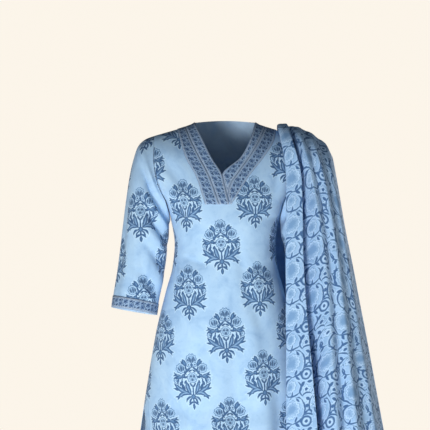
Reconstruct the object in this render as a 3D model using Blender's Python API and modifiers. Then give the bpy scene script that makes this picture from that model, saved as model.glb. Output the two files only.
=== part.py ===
"""A worn kurti with a dupatta over its left shoulder, as hollow cloth with no wearer.

Metres, +Z up, the front faces -Y and the wearer's left is +X. The origin lies midway between the
two neck points, where the shoulders carry the kurti. Each cut piece of cloth is one object: an
open surface, which is the wall's inner side, with a Solidify modifier that thickens it outwards.
"""

import math

import bpy
import numpy as np
from mathutils import Vector

KURTI_WALL = 0.0012
BORDER_WALL = 0.0010
DUPATTA_WALL = 0.0010
SEAM_GAP = 0.0003
BORDER_INSET = 0.00025

NECK_HALF = 0.075
NECK_POINT_HEIGHT = -0.002
SHOULDER_TIP = 0.176
NECK_SLOPE = 1.16
SHOULDER_SLOPE = 0.28
NECK_ROUNDING = 0.012
SHOULDER_CAP = 0.085

ARMPIT_HEIGHT = -0.242
NECK_VERTEX_HEIGHT = -0.135
BAND_FOOT_HEIGHT = -0.207
SLIT_HEIGHT = -0.700
HEM_HEIGHT = -1.140
BACK_NECK_RISE = 0.008

# Exponents of the sections: a squared ellipse under the arms, and a flatter rise above them.
TORSO_ROUND = 2.2
CHEST_RISE = 0.80

SLIT_TUCK = 0.055
SLIT_FORWARD = 0.010
HEM_WAVE = 0.007

# height, half_width, front_depth, back_depth
TORSO = (
    (HEM_HEIGHT, 0.258, 0.166, 0.172),
    (-0.765, 0.210, 0.136, 0.146),
    (-0.645, 0.192, 0.124, 0.135),
    (-0.518, 0.170, 0.112, 0.119),
    (-0.420, 0.146, 0.104, 0.099),
    (-0.360, 0.130, 0.103, 0.090),
    (-0.305, 0.125, 0.108, 0.088),
    (ARMPIT_HEIGHT, 0.1345, 0.117, 0.096),
    (-0.200, 0.145, 0.116, 0.101),
    (-0.170, 0.160, 0.110, 0.103),
    (-0.130, 0.172, 0.099, 0.101),
    (-0.090, SHOULDER_TIP, 0.083, 0.096),
    (-0.050, SHOULDER_TIP, 0.066, 0.082),
    (0.010, SHOULDER_TIP, 0.044, 0.064),
)

# height, front_edge, back_edge: how far the armhole's edges stand from the side seam's plane
ARMHOLE = (
    (ARMPIT_HEIGHT, 0.000, 0.000),
    (-0.222, 0.026, 0.030),
    (-0.200, 0.041, 0.046),
    (-0.170, 0.051, 0.057),
    (-0.130, 0.055, 0.061),
    (-0.090, 0.053, 0.060),
    (0.000, 0.045, 0.055),
)

# height, left_outer, left_divider, left_inner, right_inner, right_divider, right_outer: where the
# neck border's lines cross each height, seen from the front, with left and right the viewer's
NECK_BORDER = (
    (BAND_FOOT_HEIGHT, -0.0490, -0.0140, 0.0100, 0.0100, 0.0120, 0.0150),
    (-0.183, -0.0570, -0.0225, 0.0042, 0.0042, 0.0065, 0.0300),
    (-0.159, -0.0640, -0.0310, -0.0017, -0.0017, 0.0115, 0.0445),
    (NECK_VERTEX_HEIGHT, -0.0735, -0.0405, -0.0075, -0.0075, 0.0265, 0.0605),
    (-0.090, -0.0985, -0.0640, -0.0345, 0.0385, 0.0585, 0.0960),
    (-0.049, -0.1110, -0.0840, -0.0540, 0.0600, 0.0835, 0.1210),
    (NECK_POINT_HEIGHT, -0.1230, -0.1030, -NECK_HALF, NECK_HALF, 0.1050, 0.1310),
)

# outer_x, outer_z, inner_x, inner_z, half_depth, centre_y, tilt: a sleeve's rings, from shoulder
# to hem, where tilt is how much higher the ring's front is than its middle
SLEEVE = (
    (0.1760, -0.0335, 0.1345, -0.2420, 0.056, 0.003, 0.000),
    (0.1980, -0.0425, 0.1385, -0.2560, 0.062, 0.003, 0.000),
    (0.2160, -0.0600, 0.1395, -0.2720, 0.065, 0.002, 0.000),
    (0.2275, -0.0920, 0.1405, -0.2880, 0.067, 0.001, 0.001),
    (0.2375, -0.1360, 0.1425, -0.3100, 0.067, -0.001, 0.001),
    (0.2455, -0.1900, 0.1460, -0.3360, 0.065, -0.003, 0.002),
    (0.2530, -0.2500, 0.1500, -0.3640, 0.062, -0.005, 0.003),
    (0.2600, -0.3120, 0.1540, -0.3930, 0.059, -0.008, 0.004),
    (0.2680, -0.3740, 0.1610, -0.4230, 0.056, -0.012, 0.005),
    (0.2775, -0.4340, 0.1665, -0.4540, 0.054, -0.016, 0.006),
    (0.2810, -0.4620, 0.1705, -0.4810, 0.054, -0.018, 0.006),
)
LEFT_SLEEVE_SPREAD = 0.013

# name, ridge_x, ridge_z, chest_x, waist_x, low_x, hem_x, forward, low_forward: the dupatta's key
# lines from its inner edge to its outer one. The last two are their shares of the section's
# depth, beside the sleeve and below it.
DUPATTA_FRONT = (
    ("return", 0.1460, -0.0240, 0.1640, 0.1640, 0.1660, 0.1700, 0.72, 0.72),
    ("fold_edge", 0.1310, -0.0085, 0.1500, 0.1480, 0.1480, 0.1480, 0.80, 0.80),
    ("fold_crest", 0.1400, -0.0045, 0.1660, 0.1680, 0.1780, 0.1860, 0.95, 0.95),
    ("fold_end", 0.1520, -0.0050, 0.1860, 0.1900, 0.2220, 0.2420, 1.00, 1.02),
    ("recess", 0.1590, -0.0110, 0.1830, 0.1860, 0.2160, 0.2360, 0.70, 0.48),
    ("panel_edge", 0.1670, -0.0105, 0.2040, 0.2260, 0.2430, 0.2700, 0.94, 0.92),
    ("crest_1", 0.1790, -0.0120, 0.2140, 0.2420, 0.2680, 0.3000, 1.04, 1.05),
    ("valley_1", 0.1940, -0.0190, 0.2300, 0.2580, 0.2920, 0.3300, 0.92, 0.90),
    ("crest_2", 0.2100, -0.0250, 0.2460, 0.2750, 0.3200, 0.3660, 0.97, 0.98),
    ("valley_2", 0.2270, -0.0370, 0.2600, 0.2910, 0.3440, 0.3940, 0.78, 0.76),
    ("crest_3", 0.2440, -0.0490, 0.2740, 0.3060, 0.3710, 0.4250, 0.72, 0.74),
    ("shoulder_fall", 0.2590, -0.0680, 0.2860, 0.3190, 0.3910, 0.4450, 0.46, 0.46),
    ("outer_edge", 0.2690, -0.0900, 0.2940, 0.3310, 0.4070, 0.4640, 0.22, 0.22),
)
# The heights of the ridge, chest, waist, low and hem columns, as drops below the ridge.
DUPATTA_DROPS = (0.0, 0.150, 0.340, 0.755, 1.070)
# drop, depth_front, depth_back: the greatest depth of the dupatta's sections
DUPATTA_DEPTH = (
    (0.0, 0.088, 0.094),
    (0.150, 0.103, 0.112),
    (0.340, 0.114, 0.126),
    (0.755, 0.156, 0.172),
    (1.070, 0.202, 0.208),
)
DUPATTA_CAP = 0.088
# The drops between which the share of the depth goes over to the lower one.
BESIDE_SLEEVE = 0.440
BELOW_SLEEVE = 0.620
DUPATTA_BACK_INWARD = 0.034
SHOULDER_STRETCH = 0.050
STRETCH_GAP = 0.0008
# How much softer the folds are behind than in front.
BACK_FOLD_SHARE = 0.60

# Steps that find where a border line meets the shoulder seam; each one comes four times closer.
SEAM_SEARCH_STEPS = 10
CELLS_BETWEEN_LINES = 2
CELLS_TO_ARMHOLE = 5
BACK_NECK_CELLS = 6
BACK_SHOULDER_CELLS = 5
YOKE_ROWS = 6
BAND_HEIGHTS = (-0.159, -0.183, BAND_FOOT_HEIGHT, -0.224)
SKIRT_HEIGHTS = (
    ARMPIT_HEIGHT, -0.272, -0.305, -0.340, -0.380, -0.425, -0.480, -0.545, -0.620, SLIT_HEIGHT,
    -0.735, -0.800, -0.885, -0.970, -1.055, HEM_HEIGHT,
)
DUPATTA_ROWS = (
    0.080, 0.115, 0.160, 0.215, 0.280, 0.350, 0.430, 0.520, 0.620, 0.730, 0.850, 0.960, 1.070,
)
DUPATTA_RIDGE_ANGLES = 4

COTTON = (0.41, 0.60, 0.83)
BORDER = (0.22, 0.38, 0.62)
MUSLIN = (0.36, 0.52, 0.76)


def smooth_through(places, values, at):
    """A smooth curve through the values, which turns only where they do."""
    places = np.asarray(places, float)
    values = np.asarray(values, float)
    if places[0] > places[-1]:
        places = places[::-1]
        values = values[::-1]
    run = np.diff(places)
    slope = np.diff(values) / run
    tangent = np.concatenate([slope[:1], np.zeros(len(slope) - 1), slope[-1:]])
    same_way = slope[:-1] * slope[1:] > 0
    total = np.where(same_way, slope[:-1] + slope[1:], 1.0)
    tangent[1:-1] = np.where(same_way, 2 * slope[:-1] * slope[1:] / total, 0.0)
    at = min(max(at, places[0]), places[-1])
    i = min(int(np.searchsorted(places, at, side="right")) - 1, len(run) - 1)
    t = (at - places[i]) / run[i]
    start = (1 + 2 * t) * (1 - t) ** 2 * values[i] + t * (1 - t) ** 2 * run[i] * tangent[i]
    end = t * t * (3 - 2 * t) * values[i + 1] - t * t * (1 - t) * run[i] * tangent[i + 1]
    return float(start + end)


def read_table(table, column, at, place=0):
    return smooth_through([row[place] for row in table], [row[column] for row in table], at)


def step_between(low, high, at):
    """0 at low, 1 at high, and a soft step between them."""
    t = min(max((at - low) / (high - low), 0.0), 1.0)
    return t * t * (3 - 2 * t)


def blend(a, b, t):
    return a + (b - a) * t


def shoulder_line(x):
    """The height of the shoulder seam at x, carried on up the sides of the neck."""
    inward = NECK_HALF - abs(x)
    mean = (NECK_SLOPE + SHOULDER_SLOPE) / 2
    turn = (NECK_SLOPE - SHOULDER_SLOPE) / 2
    bend = math.hypot(inward, NECK_ROUNDING) - NECK_ROUNDING
    return NECK_POINT_HEIGHT + mean * inward + turn * bend


def cap_share(drop, full_drop):
    """A quarter circle's rise, from 0 at the ridge to 1 at full_drop below it."""
    left = 1 - min(max(drop / full_drop, 0.0), 1.0)
    return math.sqrt(max(1 - left * left, 0.0))


def panel_depth(side, x, z):
    """How far the panel stands from the seams' plane; side 1 is the front and 2 the back."""
    reach = read_table(TORSO, 1, z)
    full = read_table(TORSO, side + 1, z)
    edge = read_table(ARMHOLE, side, z) if z > ARMPIT_HEIGHT else 0.0
    power = blend(1 / TORSO_ROUND, CHEST_RISE, step_between(ARMPIT_HEIGHT, -0.130, z))
    across = max(1 - (min(abs(x) / reach, 1.0)) ** TORSO_ROUND, 0.0) ** power
    low = step_between(-0.480, HEM_HEIGHT, z)
    wave = HEM_WAVE * low * math.cos(3.4 * math.pi * x / reach + side) * across
    cap = cap_share(shoulder_line(x) - z, SHOULDER_CAP)
    return (edge + (full - edge) * across + wave) * cap


def panel_point(side, x, z):
    """A point of the front or back panel's inner side."""
    facing = -1 if side == 1 else 1
    y = facing * (panel_depth(side, x, z) + SEAM_GAP / 2)
    if side == 1:
        slit = step_between(SLIT_HEIGHT, SLIT_HEIGHT - 0.060, z)
        x *= 1 - SLIT_TUCK * slit
        y -= SLIT_FORWARD * slit
    return Vector((x, y, z))


def torso_columns(z, cells):
    """Where the columns stand across the torso at z, closer together towards the side seams."""
    reach = read_table(TORSO, 1, z)
    angles = [math.pi * (i / cells - 0.5) for i in range(cells + 1)]
    share = [math.copysign(abs(math.sin(a)) ** (2 / TORSO_ROUND), a) for a in angles]
    return [reach * s for s in share]


def yoke_drops():
    """Shares of the way up from the neck's vertex to the shoulder, closer near the ridge."""
    return [math.sin(0.5 * math.pi * k / YOKE_ROWS) for k in range(YOKE_ROWS + 1)]


def spread_out(lines, cells):
    """Points on the stretches between neighbouring lines, cells[i] of them after lines[i]."""
    out = []
    for (x0, z0), (x1, z1), n in zip(lines, lines[1:], cells):
        out += [(blend(x0, x1, k / n), blend(z0, z1, k / n)) for k in range(n)]
    return out + [lines[-1]]


def arm_edge(share, sign):
    """The armhole's point at this share of the way from the neck's vertex to the shoulder."""
    z = blend(NECK_VERTEX_HEIGHT, shoulder_line(SHOULDER_TIP), share)
    return sign * read_table(TORSO, 1, z), z


def border_line(column, share):
    """A neck border line's point at this share of the way up to the shoulder seam."""
    x = NECK_BORDER[-1][column]
    for _ in range(SEAM_SEARCH_STEPS):
        x = read_table(NECK_BORDER, column, shoulder_line(x))
    z = blend(NECK_VERTEX_HEIGHT, shoulder_line(x), share)
    return read_table(NECK_BORDER, column, z), z


def front_half(sign, share):
    """A row of the front above the neck's vertex, from left to right as the viewer sees it."""
    columns = (1, 2, 3) if sign < 0 else (4, 5, 6)
    lines = [border_line(c, share) for c in columns]
    cells = [CELLS_BETWEEN_LINES] * 2
    if sign < 0:
        return spread_out([arm_edge(share, -1)] + lines, [CELLS_TO_ARMHOLE] + cells)
    return spread_out(lines + [arm_edge(share, 1)], cells + [CELLS_TO_ARMHOLE])


def front_row(z):
    """A whole row of the front at or below the neck's vertex."""
    reach = read_table(TORSO, 1, z)
    at = max(z, BAND_FOOT_HEIGHT)
    xs = [-reach] + [read_table(NECK_BORDER, c, at) for c in (1, 2, 3, 5, 6)] + [reach]
    lines = [(x, z) for x in xs]
    two = [CELLS_BETWEEN_LINES] * 4
    row = spread_out(lines, [CELLS_TO_ARMHOLE] + two + [CELLS_TO_ARMHOLE])
    even = torso_columns(z, len(row) - 1)
    settled = step_between(BAND_FOOT_HEIGHT, -0.340, z)
    return [(blend(x, e, settled), z) for (x, z), e in zip(row, even)]


def back_row(share):
    """A whole row of the back between the neck's vertex height and its top edge."""
    cells = 2 * BACK_SHOULDER_CELLS + BACK_NECK_CELLS
    low = torso_columns(NECK_VERTEX_HEIGHT, cells)
    tip_x, tip_z = SHOULDER_TIP, shoulder_line(SHOULDER_TIP)
    top = []
    for i in range(cells + 1):
        from_left = i - BACK_SHOULDER_CELLS
        if 0 <= from_left <= BACK_NECK_CELLS:
            x = NECK_HALF * math.sin(math.pi * (from_left / BACK_NECK_CELLS - 0.5))
            rise = BACK_NECK_RISE * (1 - (x / NECK_HALF) ** 2)
            top.append((x, NECK_POINT_HEIGHT + rise))
            continue
        outward = max(-from_left, from_left - BACK_NECK_CELLS) / BACK_SHOULDER_CELLS
        x = blend(NECK_HALF, tip_x, outward)
        top.append((math.copysign(x, from_left - 0.5), shoulder_line(x)))
    row = [
        (blend(x, tx, share), blend(NECK_VERTEX_HEIGHT, tz, share)) for x, (tx, tz) in zip(low, top)
    ]
    row[0] = arm_edge(share, -1)
    row[-1] = arm_edge(share, 1)
    return row


def new_mesh(name, points, faces):
    """A mesh with no loose points, whose faces keep their order."""
    used = sorted({i for face in faces for i in face})
    index = {old: new for new, old in enumerate(used)}
    mesh = bpy.data.meshes.new(name)
    mesh.from_pydata([points[i] for i in used], [], [[index[i] for i in f] for f in faces])
    mesh.update()
    return mesh


def vertex_normals(points, faces):
    """The mean outward direction at each point of a surface."""
    total = [Vector() for _ in points]
    for face in faces:
        a, b, c, d = (points[i] for i in face)
        normal = (c - a).cross(d - b)
        for i in face:
            total[i] += normal
    return [v.normalized() for v in total]


def grid_faces(rows, columns, first=0, flip=False):
    """Quads of a grid whose points run along the rows."""
    faces = []
    for r in range(rows - 1):
        for c in range(columns - 1):
            a = first + r * columns + c
            quad = [a, a + 1, a + columns + 1, a + columns]
            faces.append(quad[::-1] if flip else quad)
    return faces


def make_cloth(name, points, faces, wall, colour, collection):
    """One cut piece: the open surface of its inner side, thickened outwards."""
    mesh = new_mesh(name, points, faces)
    piece = bpy.data.objects.new(name, mesh)
    collection.objects.link(piece)
    material = bpy.data.materials.new(name)
    material.use_nodes = True
    shader = material.node_tree.nodes["Principled BSDF"]
    shader.inputs["Base Color"].default_value = (*colour, 1)
    shader.inputs["Roughness"].default_value = 0.85
    shader.inputs["Metallic"].default_value = 0.0
    mesh.materials.append(material)
    mesh.shade_smooth()
    solidify = piece.modifiers.new("wall", "SOLIDIFY")
    solidify.thickness = wall
    solidify.offset = 1.0
    return piece


def front_panel():
    """The front's points and quads, and its grid of point numbers for what is sewn on it.

    Each row lists the point numbers from left to right. Above the neck's vertex it has a left and
    a right half, and its middle line is then two lines, one on each side of the neck.
    """
    heights = list(SKIRT_HEIGHTS[::-1]) + [h for h in BAND_HEIGHTS[::-1]]
    heights.append(NECK_VERTEX_HEIGHT)
    points = []
    rows = []
    for z in heights:
        row = front_row(z)
        rows.append(list(range(len(points), len(points) + len(row))))
        points += [panel_point(1, x, zz) for x, zz in row]
    middle = CELLS_TO_ARMHOLE + 2 * CELLS_BETWEEN_LINES
    left_rows = [row[: middle + 1] for row in rows]
    right_rows = [row[middle:] for row in rows]
    for share in yoke_drops()[1:]:
        for sign, halves in ((-1, left_rows), (1, right_rows)):
            row = front_half(sign, share)
            halves.append(list(range(len(points), len(points) + len(row))))
            points += [panel_point(1, x, z) for x, z in row]
    faces = []
    for halves in (left_rows, right_rows):
        faces += quads_between(halves, 0, len(halves) - 1, 0, len(halves[0]) - 1)
    return points, faces, left_rows, right_rows


def quads_between(rows, low, high, first, last, flip=False):
    """The quads of a grid of point numbers between these rows and columns."""
    quads = []
    for r in range(low, high):
        for c in range(first, last):
            quad = [rows[r][c], rows[r][c + 1], rows[r + 1][c + 1], rows[r + 1][c]]
            quads.append(quad[::-1] if flip else quad)
    return quads


def back_panel():
    """The back's points and quads, and its rows of point numbers."""
    cells = 2 * BACK_SHOULDER_CELLS + BACK_NECK_CELLS
    points = []
    rows = []
    heights = list(SKIRT_HEIGHTS[::-1]) + [h for h in BAND_HEIGHTS[::-1]]
    for z in heights:
        rows.append(list(range(len(points), len(points) + cells + 1)))
        points += [panel_point(2, x, z) for x in torso_columns(z, cells)]
    for share in yoke_drops():
        rows.append(list(range(len(points), len(points) + cells + 1)))
        points += [panel_point(2, x, z) for x, z in back_row(share)]
    return points, quads_between(rows, 0, len(rows) - 1, 0, cells, flip=True), rows


def armhole_loop(sign, front, back):
    """The armhole's points and outward directions, from the shoulder down the front and up the back.
    """
    loop = []
    front_points, front_faces, left_rows, right_rows = front
    back_points, back_faces, back_rows = back
    front_normals = vertex_normals(front_points, front_faces)
    back_normals = vertex_normals(back_points, back_faces)
    start = SKIRT_HEIGHTS[::-1].index(ARMPIT_HEIGHT)
    front_edge = [row[0] if sign < 0 else row[-1] for row in (left_rows, right_rows)[sign > 0]]
    back_edge = [row[0] if sign < 0 else row[-1] for row in back_rows]
    down = [(front_points[i], front_normals[i]) for i in front_edge[start:][::-1]]
    up = [(back_points[i], back_normals[i]) for i in back_edge[start:]]
    tip = ((down[0][0] + up[-1][0]) / 2, (down[0][1] + up[-1][1]).normalized())
    pit = ((down[-1][0] + up[0][0]) / 2, (down[-1][1] + up[0][1]).normalized())
    loop = [tip] + down[1:-1] + [pit] + up[1:-1]
    return loop, len(down) - 1


def sleeve_ring(row, sign, spread, half, count):
    """One ring of a sleeve: count points, of which the first half go down the front."""
    outer_x, outer_z, inner_x, inner_z, half_depth, centre_y, tilt = row
    outer = Vector((sign * (outer_x + spread), centre_y, outer_z))
    inner = Vector((sign * (inner_x + spread), centre_y, inner_z))
    centre = (outer + inner) / 2
    ring = []
    for i in range(count):
        front = i <= half
        turn = math.pi * i / half if front else math.pi * (1 + (i - half) / (count - half))
        forward = math.sin(turn)
        point = centre + (outer - centre) * math.cos(turn)
        ring.append(point + Vector((0, -half_depth * forward, tilt * forward)))
    return ring


def sleeve(sign, front, back):
    """A sleeve's points and quads: rings from the armhole to the hem."""
    loop, half = armhole_loop(sign, front, back)
    count = len(loop)
    rings = []
    for k, row in enumerate(SLEEVE):
        far = k / (len(SLEEVE) - 1)
        spread = LEFT_SLEEVE_SPREAD * step_between(0.15, 0.85, far) if sign > 0 else 0.0
        rings.append(sleeve_ring(row, sign, spread, half, count))
    ideal = rings[0]
    for k in range(1, len(rings)):
        keep = 1 - step_between(-0.4, 4.5, k)
        rings[k] = [p + (loop[i][0] - ideal[i]) * keep for i, p in enumerate(rings[k])]
    rings[0] = [edge for edge, normal in loop]
    points = [p for ring in rings for p in ring]
    rows = [[r * count + c for c in range(count)] + [r * count] for r in range(len(rings))]
    faces = quads_between(rows, 0, len(rings) - 1, 0, count, flip=sign < 0)
    own = vertex_normals(points, faces)
    for i, (edge, normal) in enumerate(loop):
        along = (loop[(i + 1) % count][0] - loop[i - 1][0]).normalized()
        away = rings[1][i] - edge
        away = (away - along * away.dot(along)).normalized()
        apart = SEAM_GAP + KURTI_WALL * max(normal.dot(away), 0.0)
        folded_back = (SEAM_GAP + 2 * KURTI_WALL) * max(-normal.dot(own[i]), 0.0)
        points[i] = edge + away * apart + normal * folded_back
    return points, faces, rows


def laid_on(points, faces, under_wall):
    """The points moved out past the wall under them and a seam's gap."""
    normals = vertex_normals(points, faces)
    return [p + n * (under_wall + SEAM_GAP) for p, n in zip(points, normals)]


def add_sleeves(front, back, collection):
    for side, sign in (("right", -1), ("left", 1)):
        points, faces, rows = sleeve(sign, front, back)
        name = f"sleeve_{side}"
        make_cloth(name, points, faces, KURTI_WALL, COTTON, collection)
        last = len(rows) - 1
        border = quads_between(rows, last - 1, last, 0, len(rows[0]) - 1, flip=sign < 0)
        raised = laid_on(points, faces, KURTI_WALL)
        make_cloth(f"sleeve_border_{side}", raised, border, BORDER_WALL, BORDER, collection)


def add_neck_borders(front, collection):
    """Two strips on each side of the neck, cut from the front's own grid and moved out."""
    points, faces, left_rows, right_rows = front
    raised = laid_on(points, faces, KURTI_WALL)
    top = len(left_rows) - 1
    foot = len(SKIRT_HEIGHTS) + BAND_HEIGHTS[::-1].index(BAND_FOOT_HEIGHT)
    tuck = foot + 1
    two = CELLS_BETWEEN_LINES
    start = CELLS_TO_ARMHOLE
    strips = (
        ("neck_border_right_outer", left_rows, foot, start, start + two),
        ("neck_border_right_inner", left_rows, foot, start + two, start + 2 * two),
        ("neck_border_left_inner", right_rows, tuck, 0, two),
        ("neck_border_left_outer", right_rows, foot, two, 2 * two),
    )
    for name, rows, low, first, last in strips:
        quads = quads_between(rows, low, top, first, last)
        moved = list(raised)
        for row in rows[low:]:
            moved[row[first]] = raised[row[first]] + Vector((BORDER_INSET, 0, 0))
            moved[row[last]] = raised[row[last]] - Vector((BORDER_INSET, 0, 0))
        make_cloth(name, moved, quads, BORDER_WALL, BORDER, collection)


def dupatta_line(column, drop, back):
    """A key line's point at this drop below the ridge, before the lines are joined smoothly."""
    name, *numbers = column
    ridge_z = numbers[1]
    xs = [numbers[0], *numbers[2:6]]
    x = smooth_through(DUPATTA_DROPS, xs, drop)
    share = blend(numbers[6], numbers[7], step_between(BESIDE_SLEEVE, BELOW_SLEEVE, drop))
    share = blend(1.0, share, BACK_FOLD_SHARE) if back else share
    depth = read_table(DUPATTA_DEPTH, 2 if back else 1, drop) * share
    y = -depth * cap_share(drop, DUPATTA_CAP)
    if back:
        fold_edge_x = DUPATTA_FRONT[1][1]
        outer_edge_x = DUPATTA_FRONT[-1][1]
        inner = 1 - step_between(fold_edge_x, outer_edge_x, numbers[0])
        x -= DUPATTA_BACK_INWARD * inner * step_between(0.0, 0.200, drop)
        y = -y
    return Vector((x, y, ridge_z - drop))


def dupatta_row(drop, back):
    """A row across the dupatta, two cells between its key lines, on a soft curve through them."""
    keys = [dupatta_line(column, drop, back) for column in DUPATTA_FRONT]
    places = list(range(len(keys)))
    row = []
    for k in range(2 * (len(keys) - 1) + 1):
        row.append(Vector([smooth_through(places, [p[a] for p in keys], k / 2) for a in range(3)]))
    return row


def dupatta_stretches():
    """The rows of the front, shoulder and back stretches."""
    turn = math.acos(1 - SHOULDER_STRETCH / DUPATTA_CAP)
    steps = [turn * k / DUPATTA_RIDGE_ANGLES for k in range(DUPATTA_RIDGE_ANGLES + 1)]
    cap_drops = [DUPATTA_CAP * (1 - math.cos(a)) for a in steps]
    over = [dupatta_row(d, False) for d in cap_drops[::-1]]
    over += [dupatta_row(d, True) for d in cap_drops[1:]]
    start = SHOULDER_STRETCH + STRETCH_GAP
    front = [dupatta_row(d, False) for d in DUPATTA_ROWS[::-1] + (start,)]
    back = [dupatta_row(d, True) for d in (start,) + DUPATTA_ROWS]
    return {"dupatta_front": front, "dupatta_shoulder": over, "dupatta_back": back}


def add_dupatta(collection):
    for name, rows in dupatta_stretches().items():
        points = [p for row in rows for p in row]
        faces = grid_faces(len(rows), len(rows[0]))
        make_cloth(name, points, faces, DUPATTA_WALL, MUSLIN, collection)


def clear_scene():
    for old in list(bpy.data.objects):
        bpy.data.objects.remove(old)


def main():
    clear_scene()
    collection = bpy.data.collections.new("kurti_and_dupatta")
    bpy.context.scene.collection.children.link(collection)
    front = front_panel()
    back = back_panel()
    make_cloth("kurti_front", front[0], front[1], KURTI_WALL, COTTON, collection)
    make_cloth("kurti_back", back[0], back[1], KURTI_WALL, COTTON, collection)
    add_neck_borders(front, collection)
    add_sleeves(front, back, collection)
    add_dupatta(collection)


main()
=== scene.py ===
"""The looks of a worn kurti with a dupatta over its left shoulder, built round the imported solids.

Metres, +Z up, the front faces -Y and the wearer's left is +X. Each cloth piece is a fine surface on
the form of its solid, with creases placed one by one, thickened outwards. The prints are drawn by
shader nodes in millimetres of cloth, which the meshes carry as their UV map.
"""

import math

import bpy
import numpy as np
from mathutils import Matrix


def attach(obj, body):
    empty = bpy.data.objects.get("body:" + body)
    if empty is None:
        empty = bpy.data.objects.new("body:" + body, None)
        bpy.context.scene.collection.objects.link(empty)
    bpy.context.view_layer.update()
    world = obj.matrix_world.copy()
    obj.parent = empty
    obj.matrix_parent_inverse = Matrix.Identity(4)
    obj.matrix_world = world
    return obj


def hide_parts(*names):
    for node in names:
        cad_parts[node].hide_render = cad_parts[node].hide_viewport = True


# Millimetres in a metre.
MM = 1000
# The axes that a length is measured on.
X_Y = (0, 1)
Y_Z = (1, 2)
X_Y_Z = (0, 1, 2)
# Added to a length that is divided by, which could be 0.
TINY = 1e-12

# How thick each cloth is, how far a border stands off the cloth under it, the gap that every seam
# keeps, and how far in a neck border's long edges lie from its neighbour's.
KURTI_WALL = 0.0007
BORDER_WALL = 0.0006
DUPATTA_WALL = 0.0005
UNDER_BORDER = 0.0010
SEAM_GAP = 0.0003
BORDER_INSET = 0.00025
# The wall of the kurti's solids. At the armhole a sleeve starts outside it.
SOLID_WALL = 0.0012

# The body's form, with the shoulder line up to the neck, the rounding across and the flared skirt.
NECK_HALF = 0.075
NECK_POINT_HEIGHT = -0.002
SHOULDER_TIP = 0.176
NECK_SLOPE = 1.16
SHOULDER_SLOPE = 0.28
NECK_ROUNDING = 0.012
SHOULDER_CAP = 0.085
ARMPIT_HEIGHT = -0.242
CHEST_HEIGHT = -0.130
NECK_VERTEX_HEIGHT = -0.135
BAND_FOOT_HEIGHT = -0.207
# Below this the columns are evenly spread.
EVEN_HEIGHT = -0.340
SKIRT_HEIGHT = -0.480
SLIT_HEIGHT = -0.700
HEM_HEIGHT = -1.140
BACK_NECK_RISE = 0.008
TORSO_ROUND = 2.2
CHEST_RISE = 0.80
SLIT_TUCK = 0.055
SLIT_FORWARD = 0.010
SLIT_FADE = 0.060
HEM_WAVE = 0.007
HEM_WAVES = 3.4

# height, half_width, front_depth, back_depth
TORSO = (
    (HEM_HEIGHT, 0.258, 0.166, 0.172),
    (-0.765, 0.210, 0.136, 0.146),
    (-0.645, 0.192, 0.124, 0.135),
    (-0.518, 0.170, 0.112, 0.119),
    (-0.420, 0.146, 0.104, 0.099),
    (-0.360, 0.130, 0.103, 0.090),
    (-0.305, 0.125, 0.108, 0.088),
    (ARMPIT_HEIGHT, 0.1345, 0.117, 0.096),
    (-0.200, 0.145, 0.116, 0.101),
    (-0.170, 0.160, 0.110, 0.103),
    (-0.130, 0.172, 0.099, 0.101),
    (-0.090, SHOULDER_TIP, 0.083, 0.096),
    (-0.050, SHOULDER_TIP, 0.066, 0.082),
    (0.010, SHOULDER_TIP, 0.044, 0.064),
)

# height, front_edge, back_edge
ARMHOLE = (
    (ARMPIT_HEIGHT, 0.000, 0.000),
    (-0.222, 0.026, 0.030),
    (-0.200, 0.041, 0.046),
    (-0.170, 0.051, 0.057),
    (-0.130, 0.055, 0.061),
    (-0.090, 0.053, 0.060),
    (0.000, 0.045, 0.055),
)

# height, left_outer, left_divider, left_inner, right_inner, right_divider, right_outer
NECK_BORDER = (
    (BAND_FOOT_HEIGHT, -0.0490, -0.0140, 0.0100, 0.0100, 0.0120, 0.0150),
    (-0.183, -0.0570, -0.0225, 0.0042, 0.0042, 0.0065, 0.0300),
    (-0.159, -0.0640, -0.0310, -0.0017, -0.0017, 0.0115, 0.0445),
    (NECK_VERTEX_HEIGHT, -0.0735, -0.0405, -0.0075, -0.0075, 0.0265, 0.0605),
    (-0.090, -0.0985, -0.0640, -0.0345, 0.0385, 0.0585, 0.0960),
    (-0.049, -0.1110, -0.0840, -0.0540, 0.0600, 0.0835, 0.1210),
    (NECK_POINT_HEIGHT, -0.1230, -0.1030, -NECK_HALF, NECK_HALF, 0.1050, 0.1310),
)

# outer_x, outer_z, inner_x, inner_z, half_depth, centre_y, tilt
SLEEVE = (
    (0.1760, -0.0335, 0.1345, -0.2420, 0.056, 0.003, 0.000),
    (0.1980, -0.0425, 0.1385, -0.2560, 0.062, 0.003, 0.000),
    (0.2160, -0.0600, 0.1395, -0.2720, 0.065, 0.002, 0.000),
    (0.2275, -0.0920, 0.1405, -0.2880, 0.067, 0.001, 0.001),
    (0.2375, -0.1360, 0.1425, -0.3100, 0.067, -0.001, 0.001),
    (0.2455, -0.1900, 0.1460, -0.3360, 0.065, -0.003, 0.002),
    (0.2530, -0.2500, 0.1500, -0.3640, 0.062, -0.005, 0.003),
    (0.2600, -0.3120, 0.1540, -0.3930, 0.059, -0.008, 0.004),
    (0.2680, -0.3740, 0.1610, -0.4230, 0.056, -0.012, 0.005),
    (0.2775, -0.4340, 0.1665, -0.4540, 0.054, -0.016, 0.006),
    (0.2810, -0.4620, 0.1705, -0.4810, 0.054, -0.018, 0.006),
)
LEFT_SLEEVE_SPREAD = 0.013
# Between which shares of the sleeve its spread comes in, and between which rings its first ring's
# fit to the armhole fades out.
SPREAD_SHARES = (0.15, 0.85)
ARMHOLE_RINGS = (-0.4, 4.5)

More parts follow.
